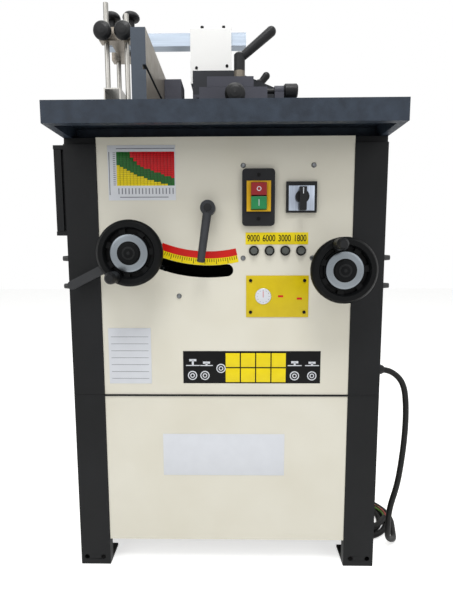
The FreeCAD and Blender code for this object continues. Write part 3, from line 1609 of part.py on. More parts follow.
# Points of the cord's hanging stretch, as offsets from the cabinet's middle and front, chosen by hand.
HANG = [
    (347.6, 45.1, 398.9),
    (362.6, 45.2, 383.9),
    (370.7, 45.3, 364.3),
    (374.6, 45.4, 335),
    (376.2, 45.5, 298),
    (375, 45.6, 253),
    (371, 45.7, 204),
    (364.5, 45.8, 152),
    (349.4, 45.9, 98),
    (348.1, 46, 44.3),
    (354.6, 58.3, 20.1),
]


def tangent_tube(points, radius):
    """A tube on straight runs joined by arcs as large as their runs allow; also gives the radii."""
    edges = []
    radii = []
    start = points[0]
    for before, corner, after in zip(points, points[1:], points[2:]):
        one = before - corner
        two = after - corner
        turn = math.pi - one.getAngle(two)
        back_off = 0.45 * min(one.Length, two.Length)
        bend = back_off / math.tan(turn / 2)
        radii.append(bend)
        enter = corner + one.normalize() * back_off
        leave = corner + two.normalize() * back_off
        bisector = (one + two).normalize()
        apex = corner + bisector * (bend / math.cos(turn / 2) - bend)
        edges.append(Part.LineSegment(start, enter).toShape())
        edges.append(Part.Arc(enter, apex, leave).toShape())
        start = leave
    edges.append(Part.LineSegment(start, points[-1]).toShape())
    path = Part.Wire(edges)
    return swept(path, points[0], points[1] - points[0], radius), radii, path.Length


def swept(path, start, way, radius):
    ring = Part.Wire([Part.Circle(start, way, radius).toShape()])
    return path.makePipeShell([ring], True, False)


def biarc(start, start_way, end, end_way):
    """Two arcs that leave one point and reach another in given directions."""
    chord = end - start
    ways = start_way + end_way
    spread = 2 * (1 - start_way.dot(end_way))
    along = chord.dot(ways)
    if spread < 1e-9:
        reach = chord.dot(chord) / (2 * along)
    else:
        reach = (-along + math.sqrt(along * along + spread * chord.dot(chord))) / spread
    joint = (start + end + (start_way - end_way) * reach) * 0.5
    edges = []
    for a, way, b in ((start, start_way, joint), (end, end_way * -1, joint)):
        span = b - a
        lift = way * (span.dot(span) / (2 * span.dot(way)))
        corner = a + lift
        middle_point = (a + b) * 0.5
        inward = corner - middle_point
        half = span.Length / 2
        bow = half * math.tan(math.atan2(inward.Length, half) / 2)
        apex = middle_point + inward.normalize() * bow
        edges.append((a, apex, b))
    first, second = edges
    return [Part.Arc(*first).toShape(), Part.Arc(second[2], second[1], second[0]).toShape()]


def coil_points():
    """Quarter-turn points of the coil: it spirals in on the floor, climbs, and spirals out on top."""
    turns = d.coil_turns.value
    pitch = d.coil_pitch.value
    low = d.cord_radius.value + d.cord_lift.value
    quarters_in = int(4 * turns)
    climb = 2
    quarters_out = 2
    points = []
    for i in range(quarters_in + climb + quarters_out + 1):
        angle = math.radians(d.coil_start_angle.value + 90 * i)
        inward = min(i, quarters_in) / 4
        outward = max(0, i - quarters_in - climb) / 4
        radius = d.coil_radius.value - pitch * (inward - outward)
        rise = min(max(i - quarters_in, 0), climb) / climb
        points.append(Vector(
            middle.value + d.coil_x.value + radius * math.cos(angle),
            front.value + d.coil_back.value + radius * math.sin(angle),
            low + rise * d.coil_layer.value,
        ))
    return points


def coil_directions(points):
    """Directions at the quarter-turn points: level and tangent, tilted only half way up the climb."""
    directions = []
    centre = Vector(middle.value + d.coil_x.value, front.value + d.coil_back.value, 0)
    for before, point, after in zip([points[0]] + points[:-1], points, points[1:] + [points[-1]]):
        spoke = point - centre
        outward = Vector(spoke.x, spoke.y, 0).normalize()
        level = Vector(-spoke.y, spoke.x, 0).normalize()
        radius = Vector(spoke.x, spoke.y, 0).Length
        drift = math.hypot(after.x - centre.x, after.y - centre.y)
        drift -= math.hypot(before.x - centre.x, before.y - centre.y)
        quarters = 1 if point in (points[0], points[-1]) else 2
        level = (level + outward * (drift / (quarters * math.pi / 2) / radius)).normalize()
        if before.z < point.z < after.z:
            slope = 1.5 * (after.z - before.z) / (math.pi * radius)
            level = (level + Vector(0, 0, slope)).normalize()
        directions.append(level)
    return directions


def cord():
    """The gland on the right post, the hanging stretch, and the coil on the floor."""
    gland_end = right + d.gland_length
    at = (right, gland_y, d.gland_height)
    gland = turned(at, "+X", [
        (d.cord_radius + 0.3, 0),
        (d.gland_radius, 0),
        (d.gland_radius, d.gland_length * 0.55),
        (d.gland_radius - 1.5, d.gland_length * 0.8),
        (d.cord_radius + 1.5, d.gland_length),
        (d.cord_radius + 0.3, d.gland_length),
    ])
    node("cord_gland", gland)
    radius = d.cord_radius.value
    points = coil_points()
    directions = coil_directions(points)
    lead = 2 * radius
    entry = points[0] - directions[0] * lead
    exit_point = points[-1] + directions[-1] * lead
    edges = [Part.LineSegment(entry, points[0]).toShape()]
    for a, b, way_a, way_b in zip(points, points[1:], directions, directions[1:]):
        edges += biarc(a, way_a, b, way_b)
    edges.append(Part.LineSegment(points[-1], exit_point).toShape())
    path = Part.Wire(edges)
    node("cord_coil", shaped(swept(path, entry, directions[0], radius)))
    print("coil length", round(path.Length, 1), "least gap", round(least_gap(edges, radius), 2))
    start = Vector(right.value + 2, gland_y.value, d.gland_height.value)
    hang = [start, Vector(gland_end.value + 3, gland_y.value, d.gland_height.value)]
    hang += [Vector(middle.value + x, front.value + y, z) for x, y, z in HANG]
    hang.append(entry - directions[0] * (2.5 * lead))
    hang.append(entry)
    solid, radii, length = tangent_tube(hang, radius)
    node("cord_drop", shaped(solid))
    print("cord radii", [round(r) for r in radii], "length", round(length, 1))
    print("cord volume over section times length",
          round(solid.Volume / (math.pi * radius ** 2 * length), 4))


def least_gap(edges, radius):
    """The smallest clear distance between stretches of the coil that aren't neighbours."""
    spots = []
    travelled = 0
    for edge in edges:
        for spot in edge.discretize(Number=12)[:-1]:
            spots.append((travelled, spot))
        travelled += edge.Length
    least = travelled
    for i, (here, one) in enumerate(spots):
        for there, other in spots[i + 1:]:
            if abs(there - here) > 12 * radius:
                least = min(least, one.distanceToPoint(other) - 2 * radius)
    return least


def build():
    lower_posts()
    divider_plate()
    upper_frame()
    upper_front_panel()
    upper_panels()
    lower_panels()
    panel_screws()
    worktable()
    trunnion_brackets()
    cradle_frame()
    tilt_sector()
    handwheel("height", height_x, height_z, -30)
    handwheel("tilt", tilt_x, tilt_z, 197)
    height_drive()
    height_lock_lever()
    tilt_drive()
    tilt_clamp_lever()
    carriage_plate()
    spindle_housing()
    spindle()
    drive()
    switches()
    belt_door()
    fence_base()
    infeed_slide()
    fence_plates()
    fence_controls()
    dust_hood()
    guard()
    cord()


def export():
    doc.recompute()
    for thing in doc.Objects:
        if "Invalid" in thing.State or "Error" in thing.State:
            raise RuntimeError(f"{thing.Label} did not build: {thing.State}")
    for thing in NODES:
        if thing.Shape.isNull() or not thing.Shape.isValid():
            raise RuntimeError(f"{thing.Label} has no valid shape")
    os.makedirs("parts", exist_ok=True)
    for thing in NODES:
        thing.Shape.exportStep(os.path.join("parts", thing.Label + ".step"))
    print(len(NODES), "pieces")


build()
export()
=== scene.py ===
# Looks of the spindle moulder. Metres, in the frame of the solids: +Z up, +Y away from the front panel.
import bpy
import math
from mathutils import Matrix, Vector


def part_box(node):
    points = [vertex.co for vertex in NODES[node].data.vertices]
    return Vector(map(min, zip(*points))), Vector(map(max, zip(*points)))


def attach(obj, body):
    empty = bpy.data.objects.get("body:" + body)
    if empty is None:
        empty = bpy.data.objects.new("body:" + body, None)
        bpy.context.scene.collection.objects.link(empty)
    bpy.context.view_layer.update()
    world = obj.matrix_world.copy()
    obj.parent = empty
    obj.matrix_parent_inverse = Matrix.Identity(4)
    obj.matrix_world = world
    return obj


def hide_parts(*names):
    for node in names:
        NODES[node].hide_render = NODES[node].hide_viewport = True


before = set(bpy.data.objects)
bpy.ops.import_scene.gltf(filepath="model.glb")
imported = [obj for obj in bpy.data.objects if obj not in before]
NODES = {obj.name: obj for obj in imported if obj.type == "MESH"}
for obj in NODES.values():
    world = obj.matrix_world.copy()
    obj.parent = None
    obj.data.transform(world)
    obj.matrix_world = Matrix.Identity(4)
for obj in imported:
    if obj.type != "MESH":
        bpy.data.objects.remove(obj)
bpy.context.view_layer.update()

# The cabinet's middle and front in the shared frame, in millimetres.
# The panels lie a little behind the posts.
PANEL = 2.0
table_low, table_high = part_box("worktable")
MIDDLE = (table_low[0] + table_high[0]) * 500
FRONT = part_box("upper_front_panel")[0][1] * 1000 - PANEL

# Places across the front, as x and z in millimetres
TILT_AXIS = (-32, 890)
HEIGHT_WHEEL = (-168.9, 648.0)
TILT_WHEEL = (211.5, 616.7)
CLAMP = (-32, 731)
DIAL = (72.7, 564.1)


def at(x, y, z):
    """A place given from the cabinet's middle, its posts' front and the floor, in millimetres."""
    return Vector(((x + MIDDLE) / 1000, (y + FRONT) / 1000, z / 1000))


# Camera and light
SENSOR_HEIGHT = 36
FOCAL_PIXELS = 433
PHOTO_PIXELS = 600


def set_camera():
    """A camera that sees the machine as the photograph does."""
    turn, dip, lean = (math.radians(a) for a in (0.94, 6.74, -0.18))
    ahead = Vector((-math.sin(turn) * math.cos(dip), math.cos(turn) * math.cos(dip), -math.sin(dip)))
    level = Vector((math.cos(turn), math.sin(turn), 0))
    upright = level.cross(ahead)
    right = level * math.cos(lean) + upright * math.sin(lean)
    up = upright * math.cos(lean) - level * math.sin(lean)
    place = Matrix((right, up, -ahead)).transposed().to_4x4()
    place.translation = at(15.6, -832.4, 655.3)
    bpy.ops.object.camera_add()
    camera = bpy.context.object
    camera.name = "photo_camera"
    camera.matrix_world = place
    camera.data.sensor_fit = "VERTICAL"
    camera.data.sensor_height = SENSOR_HEIGHT
    camera.data.lens = SENSOR_HEIGHT * FOCAL_PIXELS / PHOTO_PIXELS
    camera.data.clip_start = 0.02
    bpy.context.scene.camera = camera


def set_lamp(name, place, aim, size, power):
    """A square soft light that faces a point."""
    bpy.ops.object.light_add(type="AREA", location=place)
    lamp = bpy.context.object
    lamp.name = name
    lamp.rotation_euler = (Vector(aim) - Vector(place)).to_track_quat("-Z", "Y").to_euler()
    lamp.data.size = size
    lamp.data.energy = power


def linear(code):
    """A linear colour from an sRGB hex code."""
    parts = [int(code[i:i + 2], 16) / 255 for i in (1, 3, 5)]
    return [p / 12.92 if p <= 0.04045 else ((p + 0.055) / 1.055) ** 2.4 for p in parts] + [1.0]


def add(tree, kind, inputs=None, **settings):
    """Adds a node with its settings; an input is a value or the socket that feeds it."""
    node = tree.nodes.new(kind)
    for name, value in settings.items():
        setattr(node, name, value)
    for socket, value in (inputs or {}).items():
        if isinstance(value, bpy.types.NodeSocket):
            tree.links.new(value, node.inputs[socket])
        else:
            node.inputs[socket].default_value = value
    return node


def maths(tree, operation, *values):
    """The result of one operation on values or sockets."""
    return add(tree, "ShaderNodeMath", dict(enumerate(values)), operation=operation).outputs[0]


def blend(tree, share, first, second):
    """A colour between two, each a value or a socket, by a share from zero to one."""
    mixed = add(tree, "ShaderNodeMix", {0: share, "A": first, "B": second}, data_type="RGBA")
    return mixed.outputs["Result"]


def seen_directly(tree):
    """One for rays that the camera, a gloss or a glass sends, so that these see a white studio."""
    rays = add(tree, "ShaderNodeLightPath")
    seen = maths(tree, "MAXIMUM", rays.outputs["Is Camera Ray"], rays.outputs["Is Glossy Ray"])
    return maths(tree, "MAXIMUM", seen, rays.outputs["Is Transmission Ray"])


def set_studio():
    """White surroundings, four soft lights and a pale floor."""
    world = bpy.data.worlds.new("studio")
    bpy.context.scene.world = world
    world.use_nodes = True
    tree = world.node_tree
    tree.nodes.clear()
    strength = add(tree, "ShaderNodeMapRange", {"Value": seen_directly(tree), "To Min": 0.3, "To Max": 1.0})
    sky = add(tree, "ShaderNodeBackground", {"Color": (1, 1, 1, 1), "Strength": strength.outputs[0]})
    add(tree, "ShaderNodeOutputWorld", {"Surface": sky.outputs[0]})
    set_lamp("window_left", (-1.9, -2.6, 2.3), (0, 0, 0.55), 2.2, 27)
    set_lamp("window_right", (2.1, -2.4, 1.8), (0, 0, 0.5), 2.0, 15)
    set_lamp("ceiling_front", (0.1, -1.5, 3.0), (0, -0.2, 0.6), 1.1, 46)
    set_lamp("ceiling", (0.2, 0.6, 3.0), (0, 0, 0.9), 2.2, 20)
    bpy.context.scene.view_settings.view_transform = "Standard"
    bpy.ops.mesh.primitive_plane_add(size=12)
    floor = bpy.context.object
    floor.name = "studio_floor"
    paint = bpy.data.materials.new("pale_floor")
    paint.use_nodes = True
    floor_tree = paint.node_tree
    glow = add(floor_tree, "ShaderNodeMapRange",
               {"Value": seen_directly(floor_tree), "To Min": 0.12, "To Max": 0.62})
    shader = floor_tree.nodes["Principled BSDF"]
    shader.inputs["Base Color"].default_value = linear("#f4f4f2")
    shader.inputs["Roughness"].default_value = 0.9
    shader.inputs["Emission Color"].default_value = (1, 1, 1, 1)
    floor_tree.links.new(glow.outputs[0], shader.inputs["Emission Strength"])
    floor.data.materials.append(paint)


# Finishes
def fresh(name):
    """An empty finish: the material, its tree, its shader and Object coordinates."""
    finish = bpy.data.materials.new(name)
    finish.use_nodes = True
    tree = finish.node_tree
    shader = tree.nodes["Principled BSDF"]
    coords = add(tree, "ShaderNodeTexCoord").outputs["Object"]
    return finish, tree, shader, coords


def clouded(tree, coords, size, light, dark, detail=3.0):
    """A colour that drifts between two tones over a given size in millimetres."""
    cloud = add(tree, "ShaderNodeTexNoise", {"Vector": coords, "Scale": 1000 / size, "Detail": detail})
    tones = add(tree, "ShaderNodeValToRGB", {"Fac": cloud.outputs["Fac"]})
    tones.color_ramp.elements[0].position = 0.3
    tones.color_ramp.elements[0].color = linear(dark)
    tones.color_ramp.elements[1].position = 0.7
    tones.color_ramp.elements[1].color = linear(light)
    return tones.outputs["Color"]


def roughened(tree, shader, coords, size, low, high):
    """Roughness that varies between two values over a given size in millimetres."""
    grain = add(tree, "ShaderNodeTexNoise", {"Vector": coords, "Scale": 1000 / size, "Detail": 4.0})
    span = add(tree, "ShaderNodeMapRange", {"Value": grain.outputs["Fac"], "From Min": 0.3, "From Max": 0.7,
                                            "To Min": low, "To Max": high})
    tree.links.new(span.outputs[0], shader.inputs["Roughness"])


def grained(tree, shader, coords, size, depth, strength=0.5):
    """A fine relief of a given grain and depth in millimetres."""
    grain = add(tree, "ShaderNodeTexNoise", {"Vector": coords, "Scale": 1000 / size, "Detail": 2.0})
    relief = add(tree, "ShaderNodeBump", {"Height": grain.outputs["Fac"], "Strength": strength,
                                          "Distance": depth / 1000})
    tree.links.new(relief.outputs[0], shader.inputs["Normal"])


def powder_coat(name, light, dark, low=0.36, high=0.5, gloss=0.5):
    """Sprayed and baked paint on sheet: a soft gloss over a faint orange peel, drawn at 3 mm to show."""
    finish, tree, shader, coords = fresh(name)
    shader.inputs["Specular IOR Level"].default_value = gloss
    tree.links.new(clouded(tree, coords, 140, light, dark), shader.inputs["Base Color"])
    roughened(tree, shader, coords, 60, low, high)
    grained(tree, shader, coords, 3.0, 0.35, 0.35)
    return finish


def cast_paint(name, light, dark):
    """Enamel over sand-cast iron: a coarse skin, dull in its hollows."""
    finish, tree, shader, coords = fresh(name)
    shader.inputs["Specular IOR Level"].default_value = 0.25
    tree.links.new(clouded(tree, coords, 18, light, dark, 6.0), shader.inputs["Base Color"])
    roughened(tree, shader, coords, 9, 0.42, 0.66)
    grained(tree, shader, coords, 2.4, 0.8, 0.5)
    return finish


def worktable_iron(name, light, dark, top):
    """Cast table: enamel on its edges and underside, ground bare on top, with the grinder's fine lines."""
    finish, tree, shader, coords = fresh(name)
    facing = add(tree, "ShaderNodeTexCoord").outputs["Normal"]
    way = add(tree, "ShaderNodeSeparateXYZ", {0: facing})
    place = add(tree, "ShaderNodeSeparateXYZ", {0: coords})
    upward = maths(tree, "GREATER_THAN", way.outputs["Z"], 0.9)
    high = maths(tree, "GREATER_THAN", place.outputs["Z"], top - 0.001)
    bare = maths(tree, "MULTIPLY", upward, high)
    lines = add(tree, "ShaderNodeMapping", {"Vector": coords, "Scale": (12, 700, 60)})
    streak = add(tree, "ShaderNodeTexNoise", {"Vector": lines.outputs[0], "Scale": 1.0, "Detail": 3.0})
    iron = blend(tree, streak.outputs["Fac"], linear("#6f7377"), linear("#969a9d"))
    enamel = clouded(tree, coords, 18, light, dark, 6.0)
    tree.links.new(blend(tree, bare, enamel, iron), shader.inputs["Base Color"])
    tree.links.new(maths(tree, "MULTIPLY", bare, 0.8), shader.inputs["Metallic"])
    shader.inputs["Specular IOR Level"].default_value = 0.25
    roughened(tree, shader, coords, 9, 0.42, 0.6)
    grained(tree, shader, coords, 2.4, 0.5, 0.3)
    return finish


def ground_iron(name, light, dark):
    """Grey iron ground flat: fine lines along the grinder's way."""
    finish, tree, shader, coords = fresh(name)
    lines = add(tree, "ShaderNodeMapping", {"Vector": coords, "Scale": (900, 12, 60)})
    streak = add(tree, "ShaderNodeTexNoise", {"Vector": lines.outputs[0], "Scale": 1.0, "Detail": 3.0})
    tones = add(tree, "ShaderNodeValToRGB", {"Fac": streak.outputs["Fac"]})
    tones.color_ramp.elements[0].color = linear(dark)
    tones.color_ramp.elements[1].color = linear(light)
    tree.links.new(tones.outputs[0], shader.inputs["Base Color"])
    shader.inputs["Metallic"].default_value = 0.7
    roughened(tree, shader, coords, 25, 0.35, 0.5)
    return finish


def bright_steel(name, light, dark, stretch, low=0.2, high=0.36):
    """Turned, drawn or brushed metal: thin streaks that follow the tool."""
    finish, tree, shader, coords = fresh(name)
    lines = add(tree, "ShaderNodeMapping", {"Vector": coords, "Scale": stretch})
    streak = add(tree, "ShaderNodeTexNoise", {"Vector": lines.outputs[0], "Scale": 1.0, "Detail": 3.0})
    tones = add(tree, "ShaderNodeValToRGB", {"Fac": streak.outputs["Fac"]})
    tones.color_ramp.elements[0].position = 0.25
    tones.color_ramp.elements[0].color = linear(dark)
    tones.color_ramp.elements[1].position = 0.75
    tones.color_ramp.elements[1].color = linear(light)
    tree.links.new(tones.outputs[0], shader.inputs["Base Color"])
    shader.inputs["Metallic"].default_value = 1.0
    span = add(tree, "ShaderNodeMapRange", {"Value": streak.outputs["Fac"], "To Min": low, "To Max": high})
    tree.links.new(span.outputs[0], shader.inputs["Roughness"])
    return finish


def moulded(name, light, dark, low=0.38, high=0.52, grain=1.2, gloss=0.25):
    """Moulded plastic: even colour with a spark-eroded grain, drawn at about 1 mm to show."""
    finish, tree, shader, coords = fresh(name)
    shader.inputs["Specular IOR Level"].default_value = gloss
    tree.links.new(clouded(tree, coords, 30, light, dark), shader.inputs["Base Color"])
    shader.inputs["IOR"].default_value = 1.49
    roughened(tree, shader, coords, 12, low, high)
    grained(tree, shader, coords, grain, 0.15, 0.4)
    return finish


def printed(name, light, dark, gloss=0.3):
    """Printed film or enamelled tin: flat colour under a thin gloss."""
    finish, tree, shader, coords = fresh(name)
    shader.inputs["Specular IOR Level"].default_value = gloss
    tree.links.new(clouded(tree, coords, 25, light, dark), shader.inputs["Base Color"])
    roughened(tree, shader, coords, 20, 0.3, 0.42)
    return finish


# The bright ring in a handwheel's face, in millimetres, and its ripple in radians per metre
RING_RADIUS = 27.5
RING_HALF_WIDTH = 6.5
RING_AHEAD = 56
RING_RIPPLE = 4200.0


def wheel_face(name, x, z):
    """Black moulded handwheel with a turned bright ring let into its face, round its own axis."""
    finish, tree, shader, coords = fresh(name)
    shader.inputs["Specular IOR Level"].default_value = 0.1
    centre = at(x, 0, z)
    split = add(tree, "ShaderNodeSeparateXYZ", {0: coords})
    across = maths(tree, "SUBTRACT", split.outputs["X"], centre.x)
    upward = maths(tree, "SUBTRACT", split.outputs["Z"], centre.z)
    spot = add(tree, "ShaderNodeCombineXYZ", {"X": across, "Z": upward})
    length = add(tree, "ShaderNodeVectorMath", {0: spot.outputs[0]}, operation="LENGTH")
    radius = length.outputs["Value"]
    band = maths(tree, "COMPARE", radius, RING_RADIUS / 1000, RING_HALF_WIDTH / 1000)
    ahead = maths(tree, "LESS_THAN", split.outputs["Y"], (FRONT - RING_AHEAD) / 1000)
    ring = maths(tree, "MULTIPLY", band, ahead)
    groove = maths(tree, "SINE", maths(tree, "MULTIPLY", radius, RING_RIPPLE))
    tone = add(tree, "ShaderNodeMapRange", {"Value": groove, "From Min": -1.0})
    silver = blend(tree, tone.outputs[0], linear("#6b7278"), linear("#8d9398"))
    black = clouded(tree, coords, 30, "#0c0d0e", "#08090a")
    tree.links.new(blend(tree, ring, black, silver), shader.inputs["Base Color"])
    tree.links.new(ring, shader.inputs["Metallic"])
    gloss = add(tree, "ShaderNodeMapRange", {"Value": ring, "To Min": 0.42, "To Max": 0.28})
    tree.links.new(gloss.outputs[0], shader.inputs["Roughness"])
    grained(tree, shader, coords, 1.2, 0.12, 0.35)
    return finish


def screw_heads(name, reach):
    """Pan heads: bright zinc on the front, black on the sides, beyond a reach in metres from the middle."""
    finish, tree, shader, coords = fresh(name)
    split = add(tree, "ShaderNodeSeparateXYZ", {0: coords})
    across = maths(tree, "SUBTRACT", split.outputs["X"], MIDDLE / 1000)
    side = maths(tree, "GREATER_THAN", maths(tree, "ABSOLUTE", across), reach)
    zinc = clouded(tree, coords, 4, "#85888b", "#63666a")
    tree.links.new(blend(tree, side, zinc, linear("#101112")), shader.inputs["Base Color"])
    tree.links.new(maths(tree, "SUBTRACT", 1.0, side), shader.inputs["Metallic"])
    roughened(tree, shader, coords, 6, 0.3, 0.45)
    return finish


def fence_plate(name, end, face):
    """Anodised plate: slate on its ends and edges, brushed along its length on the face to the right."""
    finish, tree, shader, coords = fresh(name)
    lines = add(tree, "ShaderNodeMapping", {"Vector": coords, "Scale": (600, 10, 600)})
    streak = add(tree, "ShaderNodeTexNoise", {"Vector": lines.outputs[0], "Scale": 1.0, "Detail": 3.0})
    facing = add(tree, "ShaderNodeTexCoord").outputs["Normal"]
    split = add(tree, "ShaderNodeSeparateXYZ", {0: facing})
    right = maths(tree, "GREATER_THAN", split.outputs["X"], 0.7)
    tones = blend(tree, right, linear(end), linear(face))
    shade = add(tree, "ShaderNodeMapRange",
                {"Value": streak.outputs["Fac"], "To Min": 0.82, "To Max": 1.12})
    brushed = add(tree, "ShaderNodeVectorMath", {0: tones, "Scale": shade.outputs[0]}, operation="SCALE")
    tree.links.new(brushed.outputs["Vector"], shader.inputs["Base Color"])
    shader.inputs["Metallic"].default_value = 0.6
    roughened(tree, shader, coords, 20, 0.36, 0.5)
    return finish


def lever_on_collar(name, foot):
    """Black moulded lever whose foot, up to a given height in metres, is a bare bronze collar."""
    finish, tree, shader, coords = fresh(name)
    split = add(tree, "ShaderNodeSeparateXYZ", {0: coords})
    low = maths(tree, "LESS_THAN", split.outputs["Z"], foot)
    black = clouded(tree, coords, 30, "#17181a", "#101113")
    tree.links.new(blend(tree, low, black, linear("#6b655c")), shader.inputs["Base Color"])
    tree.links.new(low, shader.inputs["Metallic"])
    shader.inputs["Specular IOR Level"].default_value = 0.25
    roughened(tree, shader, coords, 12, 0.38, 0.5)
    grained(tree, shader, coords, 1.2, 0.15, 0.4)
    return finish


def rubber(name, light, dark):
    """Black rubber sheath: matt, with a faint extruded bloom."""
    finish, tree, shader, coords = fresh(name)
    tree.links.new(clouded(tree, coords, 40, light, dark), shader.inputs["Base Color"])
    shader.inputs["Specular IOR Level"].default_value = 0.2
    shader.inputs["IOR"].default_value = 1.52
    roughened(tree, shader, coords, 15, 0.48, 0.64)
    grained(tree, shader, coords, 2.0, 0.1, 0.3)
    return finish


CREAM = powder_coat("cream_powder_coat", "#dbd8cb", "#d5d1c2")
CHARCOAL = powder_coat("charcoal_powder_coat", "#17181a", "#121314", 0.42, 0.56, 0.17)
TABLE = worktable_iron("enamelled_and_ground_cast_iron", "#2f3844", "#232a34", at(0, 0, 900).z)
GROUND = ground_iron("ground_table_ring", "#7d8186", "#5d6166")
# Painted shade: the inner castings are grey enamel made darker, and the cradle frame and tilt sector near
# black, to stand for the deep shade inside the cabinet.
CASTING_DARKENED_FOR_SHADE = cast_paint("inner_casting_enamel_painted_shade", "#2c2e30", "#222426")
INNER_SHADE_BLACK_IRON = cast_paint("near_black_iron_painted_shade", "#0e0f10", "#090a0a")
STEEL = bright_steel("turned_steel", "#c9cbce", "#9da0a4", (60, 60, 900))
ROD = bright_steel("drawn_steel_rod", "#b4b2ae", "#87857f", (700, 700, 20), 0.24, 0.4)
EXTRUDED = bright_steel("extruded_aluminium", "#aab4c0", "#929ca8", (8, 500, 500), 0.28, 0.42)
PLATE = fence_plate("anodised_fence_plate", "#3f464f", "#8f887d")
SCREWS = screw_heads("zinc_and_black_screws", 0.29)
PULLEY = bright_steel("turned_aluminium", "#c8cbce", "#a2a6aa", (90, 90, 700))
MOTOR = powder_coat("motor_enamel", "#3d4146", "#313439")
BLACK = moulded("black_moulded_plastic", "#131416", "#0d0e10")
CAP = moulded("hub_cap_plastic", "#0a0b0d", "#060708", 0.42, 0.55, 1.2, 0.1)
LEVER = cast_paint("lever_die_casting", "#34363a", "#282a2d")
LOCK = powder_coat("lock_lever_paint", "#38393b", "#303133", 0.42, 0.56, 0.2)
COLLARED = lever_on_collar("lever_on_bronze_collar", at(0, 0, 1037).z)
SWITCH = moulded("switch_black_plastic", "#16171b", "#101114")
RED = moulded("stop_red_plastic", "#93282a", "#7f2023", 0.3, 0.42)
GREEN = moulded("start_green_plastic", "#2b8450", "#227142", 0.3, 0.42)
YELLOW = printed("yellow_printed_plate", "#d2ba10", "#cab10e")
BRIGHT_YELLOW = printed("bright_yellow_print", "#ead40c", "#e2ca0a")
SCALE_RED = printed("scale_red_print", "#cc150d", "#ba110a")
AMBER = moulded("switch_yellow_plastic", "#dfb01e", "#cf9f1a", 0.3, 0.42)
INK = printed("black_print", "#0f0f10", "#0b0b0c", 0.12)
GREY_INK = printed("grey_print", "#7d8088", "#73767e")
LABEL = printed("white_label_film", "#d6d9df", "#d2d5db")
FACE = bright_steel("selector_face_foil", "#aab2bf", "#8e96a3", (500, 500, 20), 0.3, 0.4)
CHART_GREEN = printed("chart_green_print", "#1c6422", "#17581c")
CHART_RED = printed("chart_red_print", "#cc0f1a", "#bd0d17")
LENS = moulded("lamp_lens", "#5c5f5c", "#474a47", 0.12, 0.22)
WHITE = powder_coat("white_guard_paint", "#ebebe9", "#e6e6e4")
GUARD_BLACK = powder_coat("satin_black_fence_paint", "#45464f", "#383942", 0.42, 0.56, 0.25)
HOOD_BLACK = powder_coat("black_hood_paint", "#303237", "#26282c", 0.42, 0.56, 0.2)
ZINC = bright_steel("zinc_plated_sheet", "#948d83", "#6f685f", (40, 40, 200), 0.26, 0.42)
RUBBER = rubber("black_cord_rubber", "#171717", "#101010")
CORE_RED = moulded("core_red_pvc", "#a8322a", "#94291f")
CORE_BROWN = moulded("core_brown_pvc", "#6a4a30", "#573b25")
CORE_GREEN = moulded("core_green_pvc", "#5f8a3a", "#4f762e")
COPPER = bright_steel("bare_copper_strands", "#d08a5e", "#a8663f", (600, 600, 600))

FINISHES = {
    CREAM: ["upper_front_panel", "upper_panels", "lower_panels"],
    CHARCOAL: ["lower_posts", "upper_frame", "divider_plate", "belt_door"],
    LOCK: ["height_lock_lever"],
    SCREWS: ["panel_screws"],
    COLLARED: ["slide_lever"],
    # Painted shade: these and the inner castings below are darkened to stand for the shade inside the
    # cabinet.
    INNER_SHADE_BLACK_IRON: ["cradle_frame", "tilt_sector"],
    TABLE: ["worktable"],
    GROUND: ["insert_ring"],
    CASTING_DARKENED_FOR_SHADE: ["trunnion_brackets", "carriage_plate", "spindle_housing", "tilt_sleeve"],
    STEEL: ["height_shaft", "height_screw", "tilt_shaft", "spindle", "arbor_rings",
            "spindle_bearings"],
    ROD: ["top_shoe", "side_shoe"],
    EXTRUDED: ["guard_arm"],
    PLATE: ["infeed_plate", "outfeed_plate"],
    PULLEY: ["spindle_pulley", "motor_pulley"],
    MOTOR: ["motor"],
    BLACK: ["height_grip", "tilt_grip", "selector_knob", "hood_lever", "slide_adjuster",
            "ball_knob", "top_shoe_knob", "side_shoe_knob", "arm_knob_left", "arm_knob_right", "door_knob",
            "cord_gland", "selector_plate"],
    LEVER: ["tilt_clamp_lever"],
    SWITCH: ["switch_plate"],
    RED: ["stop_button"],
    GREEN: ["start_button"],
    LENS: ["speed_lamps"],
    WHITE: ["guard_post"],
    GUARD_BLACK: ["fence_base", "infeed_slide"],
    HOOD_BLACK: ["dust_hood"],
    ZINC: ["hold_down_head"],
    RUBBER: ["drive_belt", "cord_drop", "cord_coil"],
    wheel_face("height_wheel_moulding", *HEIGHT_WHEEL): ["height_wheel"],
    wheel_face("tilt_wheel_moulding", *TILT_WHEEL): ["tilt_wheel"],
}
# Widths of the softened edges in millimetres. The table has none: a bevel left dark slivers on its top.
SOFT_EDGES = {"height_wheel": 1.2, "tilt_wheel": 1.2, "switch_plate": 1.5, "fence_base": 4.0,
              "infeed_slide": 4.0, "guard_post": 1.0, "stop_button": 1.2, "start_button": 1.2,
              "selector_knob": 2.0, "hold_down_head": 1.2, "lower_posts": 0.8, "upper_frame": 0.8,
              "belt_door": 0.8, "tilt_clamp_lever": 2.0}


def dress_solids():
    """Gives every carried-over solid its finish, and the main ones a softened edge."""
    for finish, names in FINISHES.items():
        for name in names:
            solid = NODES[name]
            solid.data.materials.clear()
            solid.data.materials.append(finish)
            if name in SOFT_EDGES:
                weld = solid.modifiers.new("join_triangles", "WELD")
                weld.merge_threshold = 0.00002
                edge = solid.modifiers.new("soft_edge", "BEVEL")
                edge.width = SOFT_EDGES[name] / 1000
                edge.segments = 2
                edge.limit_method = "ANGLE"
                edge.angle_limit = math.radians(50)
                edge.use_clamp_overlap = True


# Pieces
def settle():
    """Leaves edit mode and clears the selection."""
    if bpy.context.mode != "OBJECT":
        bpy.ops.object.mode_set(mode="OBJECT")
    bpy.ops.object.select_all(action="DESELECT")


